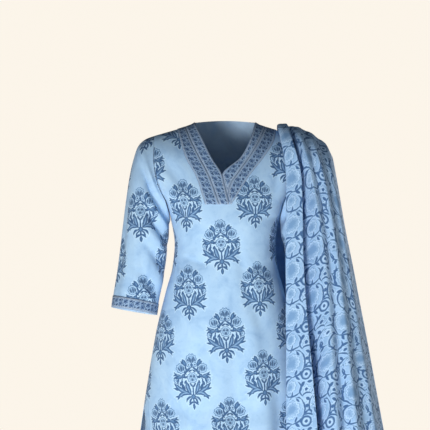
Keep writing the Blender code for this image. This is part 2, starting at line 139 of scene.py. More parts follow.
# name, ridge_x, ridge_z, chest_x, waist_x, low_x, hem_x, forward, low_forward
DUPATTA_FRONT = (
    ("return", 0.1460, -0.0240, 0.1640, 0.1640, 0.1660, 0.1700, 0.72, 0.72),
    ("fold_edge", 0.1310, -0.0085, 0.1500, 0.1480, 0.1480, 0.1480, 0.80, 0.80),
    ("fold_crest", 0.1400, -0.0045, 0.1660, 0.1680, 0.1780, 0.1860, 0.95, 0.95),
    ("fold_end", 0.1520, -0.0050, 0.1860, 0.1900, 0.2220, 0.2420, 1.00, 1.02),
    ("recess", 0.1590, -0.0110, 0.1830, 0.1860, 0.2160, 0.2360, 0.70, 0.48),
    ("panel_edge", 0.1670, -0.0105, 0.2040, 0.2260, 0.2430, 0.2700, 0.94, 0.92),
    ("crest_1", 0.1790, -0.0120, 0.2140, 0.2420, 0.2680, 0.3000, 1.04, 1.05),
    ("valley_1", 0.1940, -0.0190, 0.2300, 0.2580, 0.2920, 0.3300, 0.92, 0.90),
    ("crest_2", 0.2100, -0.0250, 0.2460, 0.2750, 0.3200, 0.3660, 0.97, 0.98),
    ("valley_2", 0.2270, -0.0370, 0.2600, 0.2910, 0.3440, 0.3940, 0.78, 0.76),
    ("crest_3", 0.2440, -0.0490, 0.2740, 0.3060, 0.3710, 0.4250, 0.72, 0.74),
    ("shoulder_fall", 0.2590, -0.0680, 0.2860, 0.3190, 0.3910, 0.4450, 0.46, 0.46),
    ("outer_edge", 0.2690, -0.0900, 0.2940, 0.3310, 0.4070, 0.4640, 0.22, 0.22),
)
DUPATTA_DROPS = (0.0, 0.150, 0.340, 0.755, 1.070)
# drop, depth_front, depth_back
DUPATTA_DEPTH = (
    (0.0, 0.088, 0.094),
    (0.150, 0.103, 0.112),
    (0.340, 0.114, 0.126),
    (0.755, 0.156, 0.172),
    (1.070, 0.202, 0.208),
)
DUPATTA_CAP = 0.088
DUPATTA_LENGTH = 1.070
DUPATTA_BACK_INWARD = 0.034
DUPATTA_BACK_FADE = 0.200
BESIDE_SLEEVE = 0.440
BELOW_SLEEVE = 0.620
BACK_FOLD_SHARE = 0.60

SEAM_SEARCH_STEPS = 10
ROW_STEP = 0.0055
CELLS_BETWEEN_LINES = 7
CELLS_TO_ARMHOLE = 30
BACK_NECK_CELLS = 30
BACK_SHOULDER_CELLS = 30
YOKE_ROWS = 28
SLEEVE_RINGS = 84
SLEEVE_BORDER_RINGS = 7
DUPATTA_CELLS = 8
DUPATTA_RIDGE_ROWS = 22
DUPATTA_FALL_ROWS = 165

CREASE_SHARE = 2.0
FOLD_SHARE = 0.45
# Along its length a crease is as strong as half a sine wave without this share of each end, to the
# power given. A panel's crease is this much wider at its end than at its start.
CREASE_START = 0.06
FOLD_START = 0.08
FADE_POWER = 0.8
CREASE_FLARE = 0.5
# How far a dupatta's fold runs out past its end, and the least space between two key lines that its
# width is measured by, in millimetres.
FOLD_END = 30
NARROWEST_FOLD = 4.0
# Creases die out over this distance beside a panel's seams, between these distances from the plane
# of the side seams, and over this distance below a sleeve's armhole.
SEAM_FADE = 0.030
FACING_FADE = (-0.002, 0.004)
ARMHOLE_FADE = 0.014
# From this share of the sleeve's length down, its creases weaken to the other share at the hem.
CUFF_START = 0.9
CUFF_SHARE = 0.45
# The soft swells of each piece: their height, how much the places across and along are scaled, and
# how large they are, in millimetres.
PANEL_SWELL = (1.4, 1.0, 0.4, 90)
SLEEVE_SWELL = (1.2, 1.2, 0.6, 80)
DUPATTA_SWELL = (0.8, 26, 0.35, 60)
SLEEVE_SEED = 11
DUPATTA_SEED = 21
SWELL_WAVES = 7
SWELL_SIZES = (0.7, 1.8)

# Soft troughs (depth below 0) and ridges of each piece, each along a bent line from its start to
# its end: x and z are millimetres from the origin, and the line bends that far to its side.
# x0, z0, x1, z1, bend, width, depth
FRONT_CREASES = (
    (-162, -86, -104, -188, -8, 20, -3.6),
    (-150, -128, -92, -226, -6, 10, 1.8),
    (-164, -196, -96, -238, -8, 18, -4.2),
    (-165, -240, -96, -300, -6, 9, 2.4),
    (150, -232, 74, -272, 8, 9, -2.8),
    (158, -258, 92, -318, 6, 10, 2.0),
    (130, -90, 112, -200, -6, 10, -2.4),
    (-112, -330, -40, -352, 5, 8, -2.0),
    (-120, -372, -58, -384, -4, 8, 1.8),
    (118, -338, 52, -366, -6, 9, -2.2),
    (126, -384, 70, -420, 5, 8, 1.8),
    (34, -300, 96, -520, 12, 15, -2.4),
    (-36, -310, -74, -560, -10, 16, 2.2),
    (62, -470, 120, -800, 10, 20, 3.4),
    (14, -520, 22, -1010, -8, 24, -3.6),
    (-70, -560, -104, -1120, 10, 22, -4.4),
    (-128, -600, -172, -1135, -8, 20, 4.2),
    (118, -640, 176, -1135, -10, 22, -4.6),
    (-26, -700, -40, -1135, 9, 18, 3.2),
    (74, -820, 86, -1138, -6, 17, 3.6),
    (-190, -480, -206, -900, 6, 15, -2.6),
    (184, -500, 226, -1010, -8, 16, 3.0),
)
BACK_CREASES = (
    (-140, -60, -96, -210, -12, 11, -3.0),
    (138, -70, 104, -230, 10, 11, -3.2),
    (-150, -214, -62, -250, 8, 10, -2.8),
    (152, -220, 70, -268, -8, 10, -2.6),
    (-128, -252, -60, -318, 6, 9, 2.2),
    (126, -256, 64, -326, -5, 9, 2.4),
    (-112, -322, -30, -336, -6, 8, -2.6),
    (114, -330, 24, -350, 6, 9, -2.8),
    (-104, -356, -18, -366, 4, 8, 2.2),
    (100, -372, 30, -384, -4, 8, 2.0),
    (-22, -60, -30, -230, 8, 14, 1.8),
    (-30, -350, -64, -640, 10, 17, -3.2),
    (32, -360, 60, -700, -12, 18, -3.6),
    (-88, -420, -128, -900, 8, 19, 4.0),
    (92, -430, 140, -960, -8, 20, 4.2),
    (0, -470, -8, -1120, 8, 24, 3.8),
    (-60, -700, -78, -1136, -9, 20, -4.2),
    (58, -760, 72, -1134, 8, 20, -3.8),
    (-170, -560, -210, -1130, 7, 18, -3.8),
    (172, -600, 214, -1132, -8, 19, -4.0),
)
# The sleeves' lines: turn is degrees round from the shoulder line, over the front at 90, and
# along is millimetres down from the armhole.
# turn0, along0, turn1, along1, width, depth
SLEEVE_CREASES = (
    (40, 36, 140, 10, 8, 2.0),
    (48, 66, 172, 16, 15, -6.2),
    (60, 96, 170, 44, 9, 1.4),
    (66, 126, 174, 72, 17, -6.8),
    (88, 150, 168, 108, 9, 1.0),
    (100, 186, 172, 140, 15, -4.4),
    (162, 206, 104, 262, 15, -4.6),
    (150, 250, 74, 296, 9, 1.8),
    (66, 190, 96, 340, 13, 2.0),
    (124, 250, 110, 410, 11, -2.4),
    (158, 250, 142, 410, 17, -5.0),
    (24, 180, 34, 400, 14, -2.2),
    (322, 60, 196, 14, 11, -3.6),
    (300, 90, 200, 44, 9, 2.4),
    (296, 124, 190, 76, 11, -3.4),
    (268, 160, 196, 120, 9, 2.2),
    (236, 190, 262, 380, 12, 2.4),
    (296, 200, 284, 400, 12, -2.6),
    (334, 120, 322, 330, 13, 2.0),
)
# The dupatta's finer folds run along it, between the key lines of its form: from column0 at
# drop0 to column1 at drop1, where a back drop is below 0.
# column0, drop0, column1, drop1, width, depth
DUPATTA_CREASES = (
    (5.7, -60, 5.4, 240, 5, -2.6),
    (6.6, -90, 6.5, 300, 6, 2.6),
    (7.5, -120, 7.9, 420, 6, -2.8),
    (8.6, -100, 8.4, 360, 6, 2.4),
    (9.4, -80, 9.6, 520, 7, -3.0),
    (10.4, -100, 10.3, 420, 7, 2.6),
    (11.2, -60, 11.4, 500, 7, -2.2),
    (3.0, -60, 2.7, 260, 5, 1.6),
    (2.2, 20, 2.3, 460, 5, -1.6),
    (2.6, 300, 2.4, 1050, 8, 2.2),
    (5.6, 330, 5.8, 1066, 9, -3.4),
    (6.5, 420, 6.7, 1066, 10, 3.0),
    (7.4, 520, 7.3, 1060, 11, -2.6),
    (8.5, 600, 8.7, 1066, 12, 3.0),
    (9.6, 560, 9.4, 1066, 12, -3.4),
    (10.6, 640, 10.7, 1060, 11, 2.8),
    (11.4, 700, 11.2, 1060, 9, -2.0),
    (2.6, -80, 2.2, -620, 9, 2.6),
    (4.2, -120, 4.6, -760, 10, -3.2),
    (5.6, -200, 5.8, -1060, 12, 3.4),
    (6.8, -140, 6.6, -900, 11, -3.0),
    (7.9, -260, 8.2, -1064, 13, 3.4),
    (9.2, -180, 9.1, -820, 12, -3.0),
    (10.3, -300, 10.6, -1060, 12, 3.0),
    (3.4, -700, 3.0, -1064, 14, -3.4),
)

# The butta is the kurti's flowering plant, and the jaal is the dupatta's all-over vine. Where a
# butta's middle lies on the front, in millimetres, and on the sleeves, in metres; how far apart its
# columns stand, how long their repeat is, and how many degrees they lean.
BUTTA_PLACE = (-10.0, -300.0)
BUTTA_ON_SLEEVE = (-0.210, -0.227)
BUTTA_ACROSS = 89.0
BUTTA_ALONG = 216.0
BUTTA_LEAN = 3.0
# The jaal's place and repeat, how far its lines are widened, and half the size of a border's cell.
JAAL_PLACE = (-24.0, 6.0, 0.0)
JAAL_ACROSS = 98.0
JAAL_ALONG = 112.0
JAAL_WIDER = 0.45
BORDER_CELL = (50.0, 15.0, 1.0)
# How long and how wide the wobbles of each print's lines are.
BUTTA_WOBBLE = (6.0, 1.3)
JAAL_WOBBLE = (9.0, 1.6)
BORDER_WOBBLE = (4.0, 0.7)

GROUND = (0.395, 0.610, 0.870)
GROUND_DEEP = (0.235, 0.415, 0.695)
GROUND_PALE = (0.500, 0.715, 0.930)
INK_DARK = (0.030, 0.080, 0.190)
INK_MID = (0.075, 0.180, 0.380)
# The print's soft ink, also used as the painted shade along the kurti's sewn hem line.
INK_SOFT_AND_SEWN_SHADE = (0.180, 0.345, 0.590)
REVERSE = (0.400, 0.560, 0.760)
MUSLIN = (0.315, 0.515, 0.795)
MUSLIN_DEEP = (0.195, 0.365, 0.635)
MUSLIN_PALE = (0.450, 0.660, 0.920)
JAAL_INK = (0.045, 0.122, 0.295)
JAAL_FLOWER = (0.096, 0.238, 0.485)
BORDER_GROUND = (0.205, 0.330, 0.540)
BORDER_DEEP = (0.130, 0.230, 0.410)
BORDER_PALE = (0.360, 0.520, 0.730)
BORDER_INK = (0.022, 0.058, 0.150)
BORDER_FLOWER = (0.055, 0.125, 0.290)
BORDER_LINE = (0.600, 0.730, 0.880)
BORDER_CORD = (0.140, 0.225, 0.390)
THREAD_PALE = (0.520, 0.640, 0.800)
THREAD_DEEP = (0.360, 0.480, 0.660)

# Each material's roughness and sheen.
FINISHES = {
    "kurti_cotton": (0.86, 0.10),
    "dupatta_muslin": (0.88, 0.12),
    "border_cotton": (0.84, 0.08),
    "kurti_reverse": (0.90, 0.08),
    "dupatta_reverse": (0.90, 0.08),
    "sewing_thread": (0.70, 0.15),
    "floor_paper": (0.90, 0.0),
}
CLOTH_GLOSS = 0.18
SHEEN_ROUGHNESS = 0.55

# The weave: the wave texture's scale for threads 1 mm apart, how uneven they are, the slubs' noise
# and strength, the depth in metres, and each cloth's strength and millimetres between threads.
THREAD_SCALE = 0.314
THREAD_WOBBLE = 1.2
SLUB_NOISE = (0.35, 3.0)
SLUB_SHARE = 0.8
WEAVE_DEPTH = 0.0002
COTTON_WEAVE = (0.25, 0.9)
REVERSE_WEAVE = (0.22, 0.9)
MUSLIN_WEAVE = (0.22, 0.8)
# The thread's twist: its noise, its strength and depth as bump, and where its pale side starts.
TWIST_NOISE = (0.9, 2.0)
TWIST_BUMP = (0.3, 0.0001)
TWIST_RAMP = (0.35, 3.0)

# The hems in millimetres: how wide each is turned, how far inside that its sewn line lies, half the
# line's width, and how soft both are. Then how much each fold and its line stand out, how much each
# fold is darkened in colour, and how much painted shade darkens the kurti's sewn line in its groove.
KURTI_HEM = 13.5
DUPATTA_HEM = 6.0
SEWN_INSIDE = 1.5
SEWN_HALF = 0.5
HEM_SOFT = 1.0
SEWN_SOFT = 1.4
KURTI_HEM_RELIEF = (3.0, 4.0)
DUPATTA_HEM_RELIEF = (2.0, 3.0)
KURTI_HEM_SHADE = 0.18
KURTI_SEWN_PAINTED_SHADE = 0.50
DUPATTA_HEM_SHADE = 0.30

# The mottled ground: each noise's scale, detail, roughness and distortion, then its layers.
CLOUD_NOISE = (0.016, 4.0, 0.55, 0.8)
GRAIN_NOISE = (0.085, 4.0, 0.6)
# noise, colour, start, gain, share
MOTTLES = (
    ("cloud", "deep", 0.50, -5.0, 0.62),
    ("cloud", "pale", 0.53, 5.0, 0.62),
    ("grain", "deep", 0.53, 3.4, 0.42),
)

# The prints' shapes in millimetres, on one half of the plant and on one cell of each other print.
# disc: x, y, radius. ring: x, y, radius, thick. leaf: x0, y0, x1, y1, left, right.
# stem: x0, y0, x1, y1, bend, thick. rosette: x, y, radius, petals, depth, phase if any.
BUTTA_INK = {
    "leaf": (
        (14.5, 33, 22.5, 49.5, 4.2, -3.4),
        (16, 37, 27, 44.5, 1.6, -3),
        (0, 23.5, 8.5, 18, 2.4, -1),
        (21, 8, 44.5, 17.5, -0.8, -6.2),
        (24, 8.5, 40.5, 3, 4.2, -3.8),
        (20.5, 4, 12.5, 8.5, 2.4, -1.6),
        (24.5, -3, 31, -14, 3.4, -2.2),
        (5, -36, 15.5, -3.5, 2.6, -7),
        (0.3, -18, 8, -7.5, 1.6, -1.9),
        (9, -33, 45.5, -8.5, 1.4, -8.6),
        (4, -37, 39.5, -48, 14, 5),
        (22, -31, 32, -35.5, 3, -1.2),
        (3, -42, 18.5, -54, 6.4, 2.4),
        (2, -44, 11, -59, 4.4, 1),
        (0, -54, 12.5, -61.5, 3.8, -0.6),
        (0, -72, 0, -57, 3, -3),
        (19.5, -25, 27.5, -9, 3, -1.2),
        (29, 11.5, 47, 10, 2.6, -1),
        (33, 9, 46, 2.5, 2.2, -1.4),
        (14, 12.5, 19.5, 20.5, 1.8, -1.4),
        (15, -1, 20.5, -9.5, 1.8, -1.6),
        (30, -23, 47.5, -20.5, 1.2, -3.4),
        (27, -41.5, 44, -41, 3.2, -0.8),
    ),
    "stem": (
        (10.5, 21, 15.5, 37, -2, 2.8),
        (0, 31.5, 22, 9, 2.2, 3.4),
        (0, 29, 0, 41, 0, 3.2),
        (22.5, 8, 19, -29, 6, 2.8),
        (32, 3, 35.5, -12, 2.6, 2.6),
        (0, -41, 0, -13, 0, 3),
        (0, -44, 0, -58, 0, 3.6),
    ),
    "disc": (
        (21.5, 9, 4.2),
        (0, -41, 5.6),
    ),
}
BUTTA_VEINS = {
    "stem": (
        (12, -31.5, 42, -11.5, -3.4, 1.5),
        (8, -36, 34, -46, 8.6, 1.5),
        (7, -33, 14.5, -8, -1.9, 1.4),
        (23, 9.5, 40, 15.5, -3, 1.1),
    ),
}
BUTTA_BLOOMS = {
    "rosette": (
        (0, 49.5, 12.4, 10, 0.9),
        (27, 27.5, 11.4, 9, 0.8, 1),
        (0, 4.5, 12.2, 10, 0.8, 0.4),
    ),
    "disc": (
        (39.5, -1.5, 6.2),
        (7.8, 36, 5),
    ),
}
BUTTA_HEARTS = {
    "leaf": (
        (1.8, 41, 6, 55, 3.6, -2.6),
        (7, 42.5, 10.5, 51.5, 1.7, -1.5),
        (20, 21.5, 21.5, 33, 2.2, -2),
        (25, 19.5, 27, 34.5, 2.7, -2.5),
        (29, 21, 35, 31, 2.2, -2),
    ),
    "disc": (
        (3.9, 7.8, 3),
        (0, 0.2, 3.2),
        (8, 36, 2),
    ),
}
# The pale patch behind the plant's middle blossom.
BUTTA_HALO = {"disc": ((0, 5, 19),)}
JAAL_BLOOMS = {
    "rosette": (
        (-4, -28, 21, 13, 1.5),
        (-7, 27.5, 14, 9, 1.2),
        (35, -33, 10, 5, 2.4),
        (33, 40, 9, 5, 2.2, 1),
        (-37, 14, 9, 6, 1.6),
    ),
    "disc": (
        (33, 4, 7.5),
    ),
}
JAAL_VINES = {
    "stem": (
        (-2, 6, -14, 47, 16, 3.4),
        (-18, 46, 18, 44, 7, 3.2),
        (17, 45, 13, 20, 5, 3),
        (-48, -2, -2, 6, -5, 3.6),
        (-3, 6, 27, -9, 4.5, 3.4),
        (24, -9, 52, -6, -6, 3.2),
        (25, -8, 20, -51, 7, 3.4),
        (-28, -10, -23, -48, -7, 3.2),
        (21, -50, -10, -55, 5, 3.2),
        (-8, 56, -2, 41, 1.5, 3),
        (48, -54, 46, -14, 7, 3),
        (46, -15, 34, -21, 4, 2.8),
        (50, 10, 44, 50, -7, 3),
        (45, 52, 23, 55, 5, 3),
        (24, 55, 22, 30, -6, 2.8),
        (-24, 44, -46, 30, -7, 3.2),
        (-46, 31, -40, 50, -5, 2.8),
        (-47, 24, -46, 4, -5, 3),
        (-36, -4, -42, -30, 6, 3.2),
        (-42, -29, -30, -52, 5, 3),
    ),
    "leaf": (
        (-13, 7, -26, 14, 3, -2.4),
        (6, 3, 17, 15, 4, -1),
        (4, 3, 10, -8, 2.8, -2.2),
        (18, -4, 24, 9, 3.4, -1.2),
        (-27, -2, -31, -14, 2.8, -2.6),
        (27, -16, 36, -20, 3, -1.6),
        (-25, -42, -37, -38, 1.6, -3.2),
        (8, -53.5, 16, -44, 2.8, -1.4),
        (20, 33, 28, 22, 3, -3.4),
        (-30, 46, -33, 56, 2.8, -2.4),
        (-40, -12, -48, -22, 2.8, -2.6),
        (-36, -18, -30, -26, 2.8, -2.4),
        (47, 22, 36, 24, 3.2, -3),
        (42, -46, 32, -52, 2.8, -2.8),
    ),
    "ring": (
        (33, 4, 11.5, 3.2),
    ),
    "disc": (
        (35, -33, 3.6),
        (33, 40, 3.4),
        (33, 4, 3.4),
        (-37, 14, 3.2),
    ),
}
BORDER_ROSES = {
    "rosette": (
        (-3.6, 7, 5.4, 6, 1),
        (3.8, -8, 5.4, 6, 1, 0.8),
    ),
}
BORDER_STEMS = {
    "stem": (
        (-7, -15, 5, -1, 3.4, 1.8),
        (5, 0, -7, 15, 3.4, 1.8),
    ),
    "leaf": (
        (-3, -13, -9.5, -5, 2.4, -2),
        (3.5, 13.5, 10, 6, 2.4, -2),
        (-9.5, -2.5, -4, -2, 1.8, -1.8),
        (9.5, 1.5, 4.5, 2.5, 1.8, -1.8),
        (9, -14.5, 11, -6, 1.8, -1.6),
        (-9, 14.5, -11, 6, 1.8, -1.6),
    ),
    "disc": (
        (-3.6, 7, 1.5),
        (3.8, -8, 1.5),
        (9.5, -2.6, 1.5),
        (-10, 2.4, 1.5),
    ),
}

# The flattest side that a drawn leaf may have, as a share of its length.
LEAST_BULGE = 0.02

# The places of a Mix node's sockets, which share their names: its two colours and its two vectors,
# each with their result.
MIX_COLOUR_A = 6
MIX_COLOUR_B = 7
MIX_COLOUR_OUT = 2
MIX_VECTOR_A = 4
MIX_VECTOR_B = 5
MIX_VECTOR_OUT = 1

# The layers of each print, from the first to the last. A layer without a half width fills its shape
# up to this distance past the rim. One with a half width is a line that far from the rim.
# colour, shape, distance, half_width, soft, share, mask if any
BUTTA_LAYERS = (
    (GROUND_PALE, "halo", 0.0, None, 3.0, 0.75),
    (GROUND_PALE, "ink", 2.0, 0.8, 1.0, 0.85),
    (INK_SOFT_AND_SEWN_SHADE, "blooms", 0.0, None, 1.2, 0.62),
    (GROUND_PALE, "blooms", -2.2, 0.7, 0.9, 0.75),
    (INK_MID, "blooms", 0.1, 0.85, 0.9, 0.90),
    (INK_MID, "blooms", -4.4, 0.6, 0.9, 0.75),
    (INK_DARK, "hearts", 0.0, None, 1.0, 0.80),
    (INK_MID, "ink", 0.0, None, 0.9, 1.0),
    (INK_DARK, "ink", 0.0, None, 0.9, 0.75, "blots"),
    (INK_SOFT_AND_SEWN_SHADE, "ink", -2.4, None, 1.2, 0.45),
    (INK_DARK, "ink", -0.2, 0.7, 1.0, 0.75),
    (GROUND, "veins", 0.0, None, 0.8, 0.60),
)
JAAL_LAYERS = (
    (MUSLIN_PALE, "blooms", 0.0, None, 1.2, 0.90),
    (JAAL_FLOWER, "middles", 0.0, None, 1.0, 0.75),
    (JAAL_FLOWER, "blooms", -6.0, 0.7, 1.2, 0.50),
    (JAAL_INK, "blooms", 0.4, 0.55, 1.0, 0.55),
    (MUSLIN_PALE, "ink", 1.9, 0.8, 1.0, 0.60),
    (JAAL_INK, "ink", 0.0, None, 1.0, 0.94),
)
BORDER_LAYERS = (
    (BORDER_PALE, "roses", 1.2, 0.7, 0.9, 0.80),
    (BORDER_PALE, "ink", 1.0, 0.4, 0.8, 0.55),
    (BORDER_FLOWER, "roses", 0.0, None, 0.9, 0.90),
    (BORDER_PALE, "roses", -2.4, 0.4, 0.8, 0.50),
    (BORDER_INK, "ink", 0.0, None, 0.9, 0.92),
    (BORDER_CORD, "rim", 3.6, None, 0.5, 0.95),
    (BORDER_LINE, "rim", 2.0, 0.9, 0.5, 0.90, "stitches"),
    (BORDER_LINE, "rim", 4.4, 0.5, 0.6, 0.55),
)
# The ink's uneven blots: a noise's scale, and where they start and how fast they grow.
BUTTA_BLOTS = 0.16
BUTTA_BLOT_RAMP = (0.30, 2.4)
JAAL_BLOTS = 0.035
JAAL_BLOT_SHARE = 2.0
# How far in a big flower's middle grows dark.
MIDDLE_FADE = 13.0
# Half the pitch of the border's printed stitches, how long they are, and how soft.
PRINTED_PITCH = 1.5
PRINTED_LENGTH = 0.8
PRINTED_SOFT = 0.4

# The real stitches: how far apart they start, how long, wide and high they are, and how far in from
# a border's and a panel's edge they run.
STITCH_PITCH = 0.0034
STITCH_LENGTH = 0.0024
STITCH_WIDTH = 0.0007
STITCH_HEIGHT = 0.0003
BORDER_STITCH = 0.0021
HEM_STITCH = 0.0120
# A stitch's corners are its first tip, one side, its other tip, the other side and its top.
STITCH_FACES = np.array(((0, 1, 4), (1, 2, 4), (2, 3, 4), (3, 0, 4), (1, 0, 3), (1, 3, 2)))

# The room's light by how high the direction is that it comes from: the heights between which it
# fades, and its strength at each. The floor's cream is the background's.
SKY_FALL = (0.05, 0.75, 0.30, 0.08)
SKY_WHITE = (0.86, 0.94, 1.0, 1)
CREAM = (0.972, 0.912, 0.820, 1)
FLOOR_HEIGHT = -1.420
FLOOR_RADIUS = 4.3
FLOOR_CORNERS = 96
FLOOR_GLOW = 0.36
# How far from the middle the fade starts and ends, and its share at each.
FLOOR_FADE = (0.10, 0.85, 0.0, 1.0)
# name, place, aim, size, power, colour
LIGHTS = (
    ("front", (-0.48, -1.60, -1.0), (0.0, 0.0, -0.60), 0.6, 23.5, (1.0, 0.99, 0.97)),
    ("behind", (1.10, 2.3, -0.50), (0.0, 0.0, -0.55), 0.9, 40, (0.97, 0.98, 1.0)),
)
# The camera looks straight at the front, and the frame shows this width of it, about this x and z.
CAMERA_DISTANCE = 4.0
FRAME_WIDTH = 1.075
FRAME_CENTRE = (-0.025, -0.2325)
SENSOR = 36.0


def smooth_through(places, values, at):
    """A smooth curve through the values, which turns only where they do."""
    places = np.asarray(places, float)
    values = np.asarray(values, float)
    if places[0] > places[-1]:
        places = places[::-1]
        values = values[::-1]
    at = np.clip(np.asarray(at, float), places[0], places[-1])
    extra = (1,) * (values.ndim - 1)
    run = np.diff(places).reshape((-1,) + extra)
    slope = np.diff(values, axis=0) / run
    same_way = slope[:-1] * slope[1:] > 0
    total = np.where(same_way, slope[:-1] + slope[1:], 1.0)
    inner = np.where(same_way, 2 * slope[:-1] * slope[1:] / total, 0.0)
    tangent = np.concatenate([slope[:1], inner, slope[-1:]])
    i = np.clip(np.searchsorted(places, at, side="right") - 1, 0, len(places) - 2)
    t = ((at - places[i]) / (places[i + 1] - places[i])).reshape(at.shape + extra)
    start = (1 + 2 * t) * (1 - t) ** 2 * values[i] + t * (1 - t) ** 2 * run[i] * tangent[i]
    end = t * t * (3 - 2 * t) * values[i + 1] - t * t * (1 - t) * run[i] * tangent[i + 1]
    return start + end


def read_table(table, column, at):
    return smooth_through([row[0] for row in table], [row[column] for row in table], at)


def step_between(low, high, at):
    """0 at low, 1 at high, and a soft step between them."""
    t = np.clip((np.asarray(at, float) - low) / (high - low), 0.0, 1.0)
    return t * t * (3 - 2 * t)


def blend(a, b, t):
    return a + (b - a) * t


def shoulder_line(x):
    """The height of the shoulder seam at x, carried on up the sides of the neck."""
    inward = NECK_HALF - np.abs(x)
    mean = (NECK_SLOPE + SHOULDER_SLOPE) / 2
    turn = (NECK_SLOPE - SHOULDER_SLOPE) / 2
    bend = np.hypot(inward, NECK_ROUNDING) - NECK_ROUNDING
    return NECK_POINT_HEIGHT + mean * inward + turn * bend


def cap_share(drop, full_drop):
    """A quarter circle's rise, from 0 at the ridge to 1 at full_drop below it."""
    left = 1 - np.clip(drop / full_drop, 0.0, 1.0)
    return np.sqrt(np.maximum(1 - left * left, 0.0))


def panel_depth(side, x, z):
    """How far the panel stands from the seams' plane; side 1 is the front and 2 the back."""
    reach = read_table(TORSO, 1, z)
    full = read_table(TORSO, side + 1, z)
    edge = np.where(z > ARMPIT_HEIGHT, read_table(ARMHOLE, side, z), 0.0)
    power = blend(1 / TORSO_ROUND, CHEST_RISE, step_between(ARMPIT_HEIGHT, CHEST_HEIGHT, z))
    share = np.minimum(np.abs(x) / reach, 1.0) ** TORSO_ROUND
    across = np.maximum(1 - share, 0.0) ** power
    low = step_between(SKIRT_HEIGHT, HEM_HEIGHT, z)
    wave = HEM_WAVE * low * np.cos(HEM_WAVES * math.pi * x / reach + side) * across
    cap = cap_share(shoulder_line(x) - z, SHOULDER_CAP)
    return (edge + (full - edge) * across + wave) * cap


def panel_points(side, x, z):
    """Points of the front or back panel's inner side, before its creases."""
    facing = -1 if side == 1 else 1
    y = facing * (panel_depth(side, x, z) + SEAM_GAP / 2)
    if side == 1:
        slit = step_between(SLIT_HEIGHT, SLIT_HEIGHT - SLIT_FADE, z)
        x = x * (1 - SLIT_TUCK * slit)
        y = y - SLIT_FORWARD * slit
    return np.stack([x, y, z], axis=-1)


def torso_columns(z, cells):
    """Where the columns stand across the torso at z, closer together towards the side seams."""
    angle = math.pi * (np.arange(cells + 1) / cells - 0.5)
    share = np.sign(angle) * np.abs(np.sin(angle)) ** (2 / TORSO_ROUND)
    return read_table(TORSO, 1, z) * share


def yoke_shares():
    """Shares of the way up from the neck's vertex to the shoulder, closer near the ridge."""
    return np.sin(0.5 * math.pi * np.arange(YOKE_ROWS + 1) / YOKE_ROWS)


def panel_heights():
    """The heights of a panel's rows up to the neck's vertex, a row step or less apart."""
    low_keys = (HEM_HEIGHT, SLIT_HEIGHT - SLIT_FADE, SLIT_HEIGHT)
    keys = (*low_keys, ARMPIT_HEIGHT, BAND_FOOT_HEIGHT, NECK_VERTEX_HEIGHT)
    heights = [keys[0]]
    for low, high in zip(keys, keys[1:]):
        count = max(1, math.ceil(abs(high - low) / ROW_STEP))
        heights += [blend(low, high, k / count) for k in range(1, count + 1)]
    return heights


def spread_out(lines, cells):
    """Points on the stretches between neighbouring lines, cells[i] of them after lines[i]."""
    out = []
    for start, end, count in zip(lines, lines[1:], cells):
        share = (np.arange(count) / count)[:, None]
        out.append(np.asarray(start) + (np.asarray(end) - np.asarray(start)) * share)
    out.append(np.asarray(lines[-1])[None])
    return np.concatenate(out)


def arm_edge(share, sign):
    """The armhole's point at this share of the way from the neck's vertex to the shoulder."""
    z = blend(NECK_VERTEX_HEIGHT, float(shoulder_line(SHOULDER_TIP)), share)
    return sign * float(read_table(TORSO, 1, z)), z


def border_line(column, share):
    """A neck border line's point at this share of the way up to the shoulder seam."""
    x = NECK_BORDER[-1][column]
    for _ in range(SEAM_SEARCH_STEPS):
        x = float(read_table(NECK_BORDER, column, shoulder_line(x)))
    z = blend(NECK_VERTEX_HEIGHT, float(shoulder_line(x)), share)
    return float(read_table(NECK_BORDER, column, z)), z


def front_half(sign, share):
    """A row of the front above the neck's vertex, from left to right as the viewer sees it."""
    columns = (1, 2, 3) if sign < 0 else (4, 5, 6)
    lines = [border_line(c, share) for c in columns]
    cells = [CELLS_BETWEEN_LINES] * 2
    if sign < 0:
        return spread_out([arm_edge(share, -1)] + lines, [CELLS_TO_ARMHOLE] + cells)
    return spread_out(lines + [arm_edge(share, 1)], cells + [CELLS_TO_ARMHOLE])


def front_row(z):
    """A whole row of the front at or below the neck's vertex, where the two inner lines are one."""
    reach = float(read_table(TORSO, 1, z))
    at = max(z, BAND_FOOT_HEIGHT)
    inner = [float(read_table(NECK_BORDER, c, at)) for c in (1, 2, 3, 5, 6)]
    lines = [(x, z) for x in [-reach] + inner + [reach]]
    cells = [CELLS_BETWEEN_LINES] * 4
    row = spread_out(lines, [CELLS_TO_ARMHOLE] + cells + [CELLS_TO_ARMHOLE])
    even = torso_columns(z, len(row) - 1)
    settled = float(step_between(BAND_FOOT_HEIGHT, EVEN_HEIGHT, z))
    row[:, 0] = blend(row[:, 0], even, settled)
    return row


def back_row(share):
    """A whole row of the back between the neck's vertex height and its top edge."""
    cells = 2 * BACK_SHOULDER_CELLS + BACK_NECK_CELLS
    low = torso_columns(NECK_VERTEX_HEIGHT, cells)
    place = np.arange(cells + 1) - BACK_SHOULDER_CELLS
    neck = NECK_HALF * np.sin(math.pi * (np.clip(place / BACK_NECK_CELLS, 0, 1) - 0.5))
    rise = BACK_NECK_RISE * (1 - (neck / NECK_HALF) ** 2)
    outward = np.maximum(-place, place - BACK_NECK_CELLS) / BACK_SHOULDER_CELLS
    side = np.where(place < BACK_NECK_CELLS / 2, -1, 1)
    shoulder = side * blend(NECK_HALF, SHOULDER_TIP, np.maximum(outward, 0))
    on_neck = outward <= 0
    top_x = np.where(on_neck, neck, shoulder)
    top_z = np.where(on_neck, NECK_POINT_HEIGHT + rise, shoulder_line(shoulder))
    row = np.stack([blend(low, top_x, share), blend(NECK_VERTEX_HEIGHT, top_z, share)], axis=-1)
    row[0] = arm_edge(share, -1)
    row[-1] = arm_edge(share, 1)
    return row


def end_fade(t, start):
    """A crease's strength along it, from little at its two ends to full in its middle."""
    return np.sin(math.pi * (start + (1 - 2 * start) * t)) ** FADE_POWER


